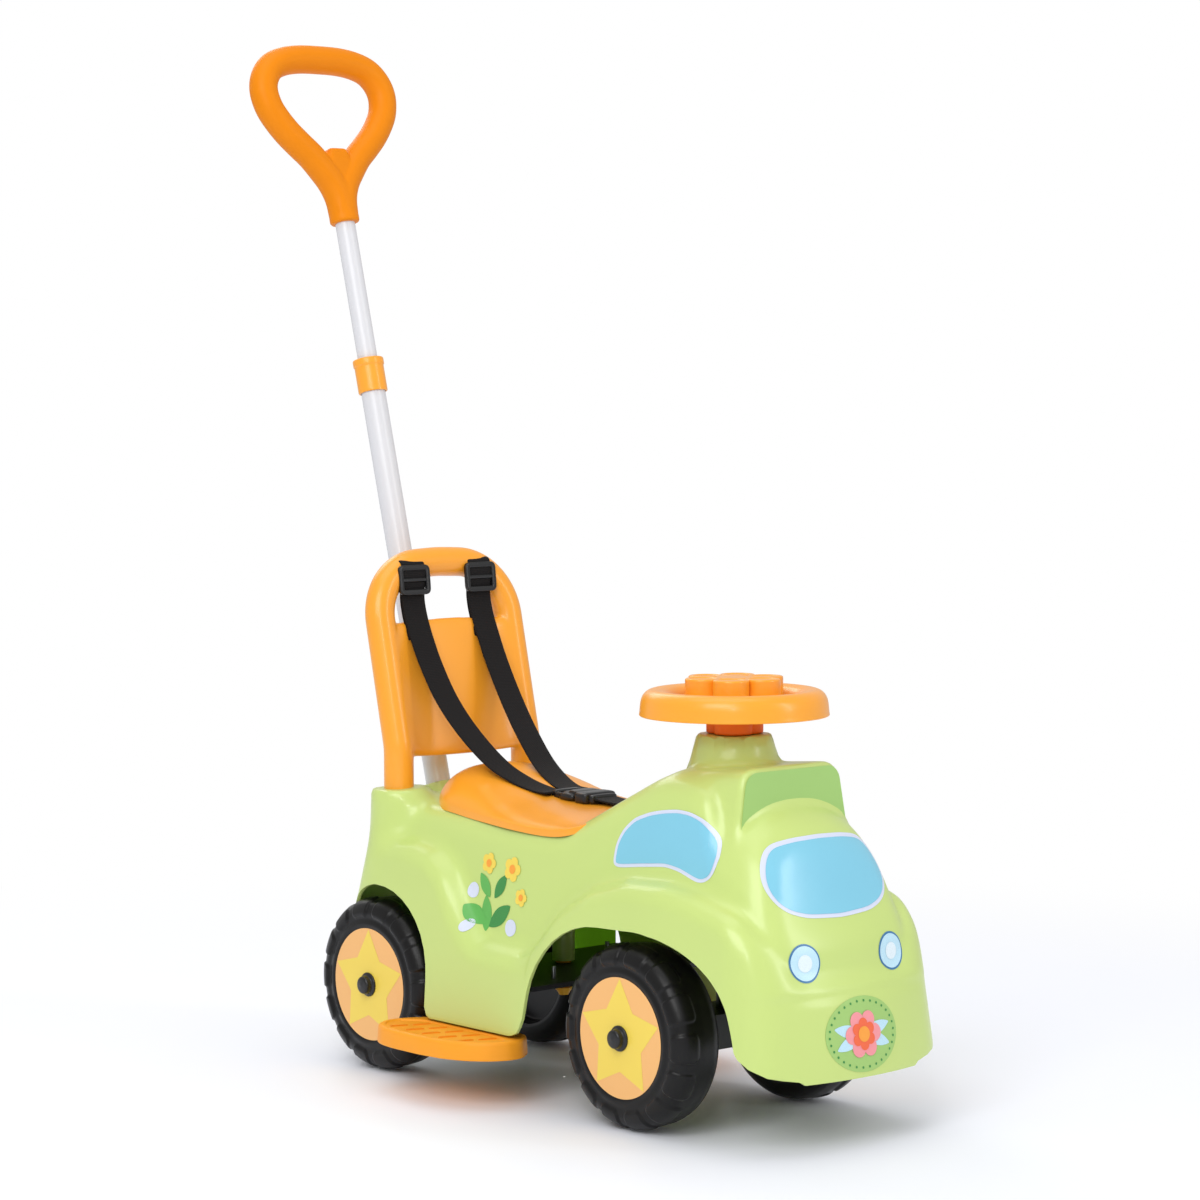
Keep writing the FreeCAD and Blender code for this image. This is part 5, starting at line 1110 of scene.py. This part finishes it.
RIM_SECTION = [(73.4, 326.0), (76.4, 326.0), (76.3, 329.0), (75.4, 337.0), (73.6, 342.0), (70.0, 345.6),
               (65.0, 347.0), (58.0, 346.0), (54.0, 344.0), (51.6, 341.0), (50.6, 336.0), (50.6, 333.0),
               (53.0, 333.0), (54.0, 339.0), (58.0, 342.0), (65.0, 343.0), (70.0, 340.0), (72.6, 335.0),
               (73.4, 328.0)]
PETALS, PETAL_RING, PETAL_TURN = 6, 27.4, -48.0
LOBES, LOBE_RING = 3, 8.6
SPOKES = 3


def turned(section, centre, count=96, axis="z", closed=False):
    """Grid of rings of a section of radius and height, spun about an upright or a level axis."""
    section = np.array(section, float)
    turn = full_turn(count)
    r, h = section[:, :1], np.broadcast_to(section[:, 1:], (len(section), count))
    c, s = r * np.cos(turn), r * np.sin(turn)
    parts = [c, s, h] if axis == "z" else [c, h, s]
    grid = np.array(centre, float) + np.stack(parts, axis=-1)
    return grid if closed else capped(grid)


def softened(points, radii, step=0.8):
    """Section with its corners turned as arcs, from radius and height pairs."""
    line = rounded_path([(r, h, 0.0) for r, h in points], radii, step)
    return line[:, :2]


def ring_of(section, centre, count, radius, points):
    """Copies of a turned section set evenly round a centre."""
    angles = [math.radians(360.0 / count * i + PETAL_TURN) for i in range(count)]
    spots = [centre + [radius * math.cos(a), radius * math.sin(a), 0.0] for a in angles]
    return [turned(section, spot, points) for spot in spots]


def spun(grid, angle):
    """Grid turned about the upright axis."""
    c, s = math.cos(angle), math.sin(angle)
    return grid @ np.array([[c, s, 0.0], [-s, c, 0.0], [0.0, 0.0, 1.0]])


def steering_wheel():
    """Rim that is widest at its foot and round on top, a hub of petals, three spokes and a lobed stem."""
    low, high = corners("steering_wheel")
    centre = np.array([STEER_X, 0.0, 0.0])
    rim = curve_through([(r, h, 0.0) for r, h in RIM_SECTION + RIM_SECTION[:1]], 0.9)[:-1, :2]
    hoop = turned(rim, centre, 160, closed=True)
    top = high[2] - 1.3
    petal = softened([(0.0, 328.0), (14.5, 328.0), (14.6, top), (11.4, top), (10.4, top - 0.8),
                      (0.0, top - 0.8)], [0.6, 1.4, 0.5, 0.4])
    heart = softened([(0.0, 330.0), (15.0, 330.0), (15.0, top), (0.0, top)], [1.0, 1.0])
    grids = ring_of(petal, centre, PETALS, PETAL_RING, 64) + [turned(heart, centre, 72)]
    bar = rounded_box((14.0, -11.0, 333.6), (54.0, 11.0, 340.0), 0.3, 24)
    grids += [spun(bar, math.radians(360.0 / SPOKES * i)) + centre for i in range(SPOKES)]
    obj = joined("steering_wheel_moulding", "steering", grids, ORANGE, loops=[hoop])
    stand_in(obj, "steering_wheel", sharp=42)
    lobe = softened([(0.0, low[2]), (15.6, low[2]), (15.6, 336.0), (0.0, 336.0)], [1.2, 1.2])
    # The stem takes a deeper orange than the wheel: painted shade from the rim above it.
    stem = joined("steering_stem", "steering", ring_of(lobe, centre, LOBES, LOBE_RING, 72), STEM_PAINTED_SHADE_ORANGE)
    stand_in(stem, sharp=42)


FOOT_PLAN = [(-68, 114), (-73, 127), (-72, 140), (-64, 152), (-50, 159), (-30, 162), (6, 162.5), (34, 159.5),
             (55, 151), (70, 138), (77.5, 123), (77, 108), (62, 90), (36, 84), (-34, 84), (-58, 98)]
TREAD_PLAN = [(-66, 127), (-65, 140), (-56, 149), (-33, 155), (6, 155.5), (32, 153), (50, 145.5), (64, 134),
              (70, 122), (52, 113), (-48, 113)]
FOOT_CENTRE = np.array([4.0, 132.0])
RIB_TURN, RIB_STEP, RIBS = math.radians(-68.0), 22.0, 5
RIB_ROWS = ((124.0, -38.0), (142.0, -46.0))


def reach_of(outline, turn):
    """Distance of an outline from the footrest's centre in each direction."""
    away = outline - FOOT_CENTRE
    angle = np.arctan2(away[:, 1], away[:, 0])
    order = np.argsort(angle)
    return np.interp(turn, angle[order], np.hypot(away[:, 0], away[:, 1])[order], period=2 * math.pi)


def footrest(side, sign):
    """Step plate: its plan drawn in from the foot over a rounded rim to a sunk tread with slanting ribs."""
    base, top = corners("footrest_" + side)[0][2] - 3.0, EDGE_Z - 2.2
    turn = np.linspace(-math.pi, math.pi, 320, endpoint=False)
    plan = reach_of(closed_loop(FOOT_PLAN, 4.0, 400), turn)
    tread = reach_of(closed_loop(TREAD_PLAN, 3.0, 400), turn)
    rows = [(plan - 5.0, base), (plan - 0.9, base), (plan - 0.2, base + 0.3), (plan, base + 1.0),
            (plan - 0.8, top - 3.4), (plan - 1.2, top - 1.8), (plan - 2.0, top - 0.7),
            (plan - 3.2, top - 0.1), (plan - 4.2, top), (tread + 1.2, top), (tread + 0.5, top - 0.1),
            (tread, top - 0.6), (tread - 0.5, top - 1.2), (tread - 1.3, top - 1.4), (tread * 0.7, top - 1.4)]
    reach = np.array([np.minimum(r, plan) for r, z in rows])
    x = FOOT_CENTRE[0] + reach * np.cos(turn)
    y = FOOT_CENTRE[1] + reach * np.sin(turn)
    z = np.broadcast_to(np.array([z for r, z in rows])[:, None], x.shape)
    mirror = [1.0, sign, 1.0]
    plate = capped(np.stack([x, y, z], axis=-1)) * mirror
    rib = spun(rounded_box((-8.0, -0.9, top - 2.9), (8.0, 0.9, top - 0.4), 0.4, 14), RIB_TURN)
    ribs = [(rib + [first + RIB_STEP * i, row, 0.0]) * mirror for row, first in RIB_ROWS for i in range(RIBS)]
    obj = joined("footrest_step_" + side, "chassis", [plate], FOOT_ORANGE)
    stand_in(obj, "footrest_" + side, sharp=50)
    # The ribs take a darker orange than the plate: painted shade on their sides.
    bars = joined("footrest_ribs_" + side, "chassis", ribs, RIB_PAINTED_SHADE_ORANGE)
    stand_in(bars, sharp=50)


COLLAR_LOW, COLLAR_HIGH = 341.0, 372.0
BARBS, BARB_STEP = 5, 6.0


def tube_collar():
    """Clamp collar: a short sleeve with rounded ends and a raised band at its top."""
    low, high = COLLAR_LOW, COLLAR_HIGH
    section = softened([(11.6, low), (13.2, low), (13.2, high - 7.0), (14.0, high - 6.0), (14.0, high),
                        (9.6, high)], [0.8, 0.4, 0.4, 1.0])
    line = np.array([on_handle(0, up) for up in section[:, 1]])
    line = line + TUBE_UP * np.arange(len(line))[:, None] * ROW_STEP
    turn = full_turn(96)
    ring = np.cos(turn)[None, :, None] * TUBE_OUT + np.sin(turn)[None, :, None] * np.array([0.0, 1.0, 0.0])
    grid = line[:, None, :] + ring * section[:, :1, None]
    obj = joined("tube_collar_sleeve", "chassis", [grid], ORANGE)
    stand_in(obj, "tube_collar", sharp=45)


def axle_caps(end, body):
    """Two push-on caps: a round flange against the wheel's disc and a stub with a domed end."""
    cad = end + "_axle_caps"
    centre = middle(cad)
    disc = corners(end + "_disc_left")[1][1]
    reach = corners(cad)[1][1] - disc
    section = softened([(0.0, 0.3), (10.4, 0.3), (10.4, 1.5), (7.9, 2.6), (7.5, reach - 1.0), (0.0, reach)],
                       [0.2, 0.6, 0.8, 2.2])
    caps = [turned(section * [1.0, sign], (centre[0], sign * disc, centre[2]), 64, "y") for _, sign in SIDES]
    obj = joined(end + "_axle_cap_pair", body, caps, BUCKLE_BLACK)
    stand_in(obj, cad, sharp=45)


def seat_plug():
    """Barbed plug: rings that taper downward on a shank, its upper length inside the body's green boss."""
    low, high = corners("seat_plug")
    tall = high[2] - low[2]
    section = [(0.0, 0.0), (4.0, 0.0)]
    for foot in BARB_STEP * np.arange(BARBS):
        section += [(5.6, 3.0 + foot), (7.4, 5.2 + foot), (7.4, 6.6 + foot), (4.6, 7.0 + foot)]
    section += [(4.6, tall), (0.0, tall)]
    at = middle("seat_plug") * [1, 1, 0] + [0, 0, low[2]]
    obj = joined("seat_plug_barbs", "chassis", [turned(section, at, 48)], PLUG_YELLOW)
    stand_in(obj, "seat_plug", sharp=40)
    sleeve = [(5.2, 30.0), (9.6, 30.0), (10.4, tall + 2.0), (5.2, tall + 2.0)]
    boss = joined("plug_boss", "chassis", [], GREEN, loops=[turned(sleeve, at, 48, closed=True)])
    stand_in(boss, sharp=40)


steering_wheel()
for foot_side, foot_sign in SIDES:
    footrest(foot_side, foot_sign)
tube_collar()
axle_caps("front", "steering")
axle_caps("rear", "chassis")
seat_plug()

# Harness: webbing, sliders and buckle

WEB_WIDE, WEB_THICK = 25.0, 1.8
STRAP_LINE = [(-173, 37, 431), (-163, 37, 437), (-158.2, 37, 432), (-157.6, 37, 420), (-158.6, 37, 404),
              (-154.5, 37, 388), (-147, 37, 371), (-134, 36.5, 347), (-114, 35, 318), (-89, 31, 291),
              (-59, 25, 266.5), (-33, 19, 253.5), (-10, 14, 247), (6, 12.8, 246)]
CROTCH_LINE = [(52, 0, 245), (66, 0, 243.5), (84, 0, 243), (104, 0, 245), (122, 0, 249), (134, 0, 251),
               (140, 0, 246)]


def ribbon(name, line):
    """Flat band along a line, level across, with its own UV; returns the object and the band's length."""
    ahead = unit(np.gradient(line, axis=0))
    across = unit(np.array([0.0, 1.0, 0.0]) - ahead * ahead[:, 1:2])
    face = np.cross(ahead, across)
    turn = full_turn(48)
    wide = WEB_WIDE / 2 * signed_power(np.cos(turn), 0.16)
    thick = WEB_THICK / 2 * signed_power(np.sin(turn), 0.5)
    grid = line[:, None] + across[:, None] * wide[:, None] + face[:, None] * thick[:, None]
    run = run_along(line)
    uv = np.stack(np.broadcast_arrays((wide / WEB_WIDE + 0.5)[None, :], (run / WEB_WIDE)[:, None]), axis=-1)
    uv = np.concatenate([uv[:1], uv, uv[-1:]])
    obj = welded(surface(name, "chassis", capped(grid), WEBBING, wrap_v=True, uv=uv), turn_out=True)
    return stand_in(obj), run[-1]


def strap(side, sign):
    """Shoulder strap from a slit in the back rail, through its slider and down to the buckle."""
    line = curve_through([(x, sign * y, z) for x, y, z in STRAP_LINE])
    obj, length = ribbon("shoulder_strap_" + side, line)
    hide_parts("strap_" + side)
    fold = [(-160.0, 37, 425), (-159.8, 37, 418), (-160.9, 37, 404), (-156.9, 37, 387), (-149.0, 37, 369)]
    tail, length = ribbon("strap_tail_" + side, curve_through([(x, sign * y, z) for x, y, z in fold]))


def frame_loop(centre, out, up, w, h, bar):
    """Rounded rectangular ring of a soft square bar, in the plane across out; w and h are its half sizes."""
    across = np.cross(up, out)
    flat = closed_loop([(-w, -h), (w, -h), (w, h), (-w, h)], 2.0)
    path = centre + flat[:, :1] * across + flat[:, 1:] * up
    side = np.cross(unit(np.roll(path, -1, axis=0) - np.roll(path, 1, axis=0)), out)
    turn = full_turn(24)
    c = signed_power(np.cos(turn), 0.45)[None, :, None] * bar[0]
    s = signed_power(np.sin(turn), 0.45)[None, :, None] * bar[1]
    return path[:, None, :] + side[:, None, :] * c + out * s


SLIDER_AT = np.array([-156.8, 37.0, 420.5])


def strap_slider(side, sign):
    """Slider: a soft rectangular ring with a bar across its middle, hanging on the strap below the rail."""
    centre = SLIDER_AT * [1, sign, 1]
    out = np.array([0.995, 0.0, 0.1])
    up = np.array([-0.1, 0.0, 0.995])
    ring = frame_loop(centre, out, up, 14.6, 10.8, (2.4, 1.9))
    y = np.linspace(-14.8, 14.8, 12)
    bar = centre + y[:, None] * np.array([0.0, 1.0, 0.0]) - out * 0.4
    obj = joined("slider_" + side, "chassis", [capped(tube(bar, 2.0, out, 20))], BUCKLE_BLACK, loops=[ring])
    stand_in(obj, "strap_slider_" + side)


def buckle():
    """Side-release buckle: a tongue with two sprung prongs and a socket that shows them at its open sides."""
    x, y, z = corners("buckle_tongue")[0][0], corners("buckle_body")[1][1], corners("buckle_body")[0][2]
    front = corners("buckle_body")[1][0]
    tongue = [((x, 4 - y, z), (x + 7, y - 4, z + 9.5), 0.35),
              ((x + 4, 9 - y, z + 2), (x + 30, y - 9, z + 8.5), 0.5),
              ((x + 12, -y, z + 2), (x + 32, 9 - y, z + 8.5), 0.7),
              ((x + 12, y - 9, z + 2), (x + 32, y, z + 8.5), 0.7),
              ((x + 5, 2 - y, z + 2.6), (x + 18, 6 - y, z + 8), 0.7),
              ((x + 5, y - 6, z + 2.6), (x + 18, y - 2, z + 8), 0.7)]
    socket = [((x + 19, 5 - y, z), (x + 36, y - 5, z + 11), 0.4),
              ((x + 31, 1 - y, z), (front - 5, y - 1, z + 10.6), 0.42),
              ((front - 10, 5 - y, z + 0.6), (front, y - 5, z + 9), 0.4)]
    for name, boxes, cad in (("buckle_prongs", tongue, "buckle_tongue"),
                             ("buckle_socket", socket, "buckle_body")):
        obj = joined(name, "chassis", [rounded_box(*box) for box in boxes], BUCKLE_BLACK)
        stand_in(obj, cad)


def crotch_strap():
    """Short strap from the buckle to the gap at the seat's front tip."""
    obj, length = ribbon("crotch_web", curve_through(CROTCH_LINE))
    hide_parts("crotch_strap")


for strap_side, strap_sign in SIDES:
    strap(strap_side, strap_sign)
    strap_slider(strap_side, strap_sign)
buckle()
crotch_strap()

# Stage: floor, soft studio light and the camera at the photo's angle

CAMERA_AT = (2261.29, -1899.99, 598.64)
CAMERA_TARGET = (49.53, 0.0, 410.8)
CAMERA_ROLL = math.radians(-0.22)
CAMERA_LENS = 104.67
FLOOR_CLEAR = (0.45, 1.3)
FLOOR_R, FLOOR_Z = 12000.0, -0.3


def camera():
    """Camera at the photo's place: the line to its target, turned by a small roll."""
    data = bpy.data.cameras.new("photo_camera")
    data.lens = CAMERA_LENS
    data.sensor_width = 36.0
    data.clip_end = 50.0
    obj = placed("photo_camera", data)
    at, target = Vector(CAMERA_AT) * MM, Vector(CAMERA_TARGET) * MM
    turn = (target - at).to_track_quat("-Z", "Y").to_matrix().to_4x4()
    obj.matrix_world = Matrix.Translation(at) @ turn @ Matrix.Rotation(CAMERA_ROLL, 4, "Z")
    bpy.context.scene.camera = obj


def area_light(name, at, target, size, power):
    """Soft box of a width and a height aimed at a point."""
    data = bpy.data.lights.new(name, "AREA")
    data.shape = "RECTANGLE"
    data.size, data.size_y = size
    data.energy = power
    obj = placed(name, data)
    obj.location = at
    obj.rotation_euler = (Vector(target) - Vector(at)).to_track_quat("-Z", "Y").to_euler()


def floor_look():
    """Pale floor near the object that fades to plain white further out, for the camera only."""
    material = plastic("floor_pale", (245, 247, 254), rough=0.6, bump=0.0, drift=0.99)
    tree = material.node_tree
    place = node(tree, "ShaderNodeTexCoord", (-900, -500))
    far = node(tree, "ShaderNodeVectorMath", (-700, -500), operation="LENGTH")
    fade = fill(node(tree, "ShaderNodeMapRange", (-500, -500), interpolation_type="SMOOTHSTEP"),
                {"From Min": FLOOR_CLEAR[0], "From Max": FLOOR_CLEAR[1]})
    path = node(tree, "ShaderNodeLightPath", (-700, -700))
    seen = node(tree, "ShaderNodeMath", (-300, -500), operation="MULTIPLY")
    glow = node(tree, "ShaderNodeEmission", (-100, -400))
    mix = node(tree, "ShaderNodeMixShader", (300, -200))
    link(place, "Object", far, 0)
    link(far, "Value", fade, "Value")
    link(fade, "Result", seen, 0)
    link(path, "Is Camera Ray", seen, 1)
    link(seen, "Value", mix, 0)
    link(tree.nodes["Principled BSDF"], "BSDF", mix, 1)
    link(glow, "Emission", mix, 2)
    link(mix, "Shader", tree.nodes["Material Output"], "Surface")
    return material


def floor():
    """Plain pale floor, a large flat disc under the wheels."""
    turn = full_turn(64)
    radius = np.linspace(1.0, FLOOR_R, 12)[:, None]
    grid = np.stack([radius * np.cos(turn), radius * np.sin(turn), np.full((12, 64), FLOOR_Z)], axis=-1)
    mesh = bpy.data.meshes.new("floor")
    mesh.from_pydata((grid.reshape(-1, 3) * MM).tolist(), [], grid_faces(12, 64, wrap_v=True).tolist())
    mesh.materials.append(floor_look())
    placed("floor", mesh)


def world():
    """White surround that lights softly and shows white behind the object."""
    sky = bpy.data.worlds.new("studio")
    bpy.context.scene.world = sky
    sky.use_nodes = True
    tree = sky.node_tree
    white = (1.0, 1.0, 1.0, 1.0)
    ground = fill(tree.nodes["Background"], {"Color": white, "Strength": 0.6})
    seen = fill(node(tree, "ShaderNodeBackground", (0, -200)), {"Color": white, "Strength": 1.0})
    path = node(tree, "ShaderNodeLightPath", (-300, 200))
    mix = node(tree, "ShaderNodeMixShader", (200, 0))
    link(path, "Is Camera Ray", mix, 0)
    link(ground, "Background", mix, 1)
    link(seen, "Background", mix, 2)
    link(mix, "Shader", tree.nodes["World Output"], "Surface")


camera()
floor()
world()
area_light("key_box", (1.4, -2.4, 2.4), (0.05, 0.0, 0.3), (1.8, 1.8), 46.0)
area_light("top_box", (0.0, -0.3, 3.2), (0.0, 0.0, 0.3), (2.2, 2.2), 20.0)
area_light("fill_strip", (2.7, 1.3, 1.5), (0.05, 0.0, 0.35), (0.4, 1.8), 15.0)
area_light("front_strip", (2.21, -1.93, 1.42), (0.21, 0.0, 0.3), (0.12, 0.6), 6.0)
area_light("rear_box", (-2.4, 0.6, 2.2), (0.0, 0.0, 0.4), (1.6, 1.6), 18.0)
bpy.context.scene.view_settings.view_transform = "Standard"
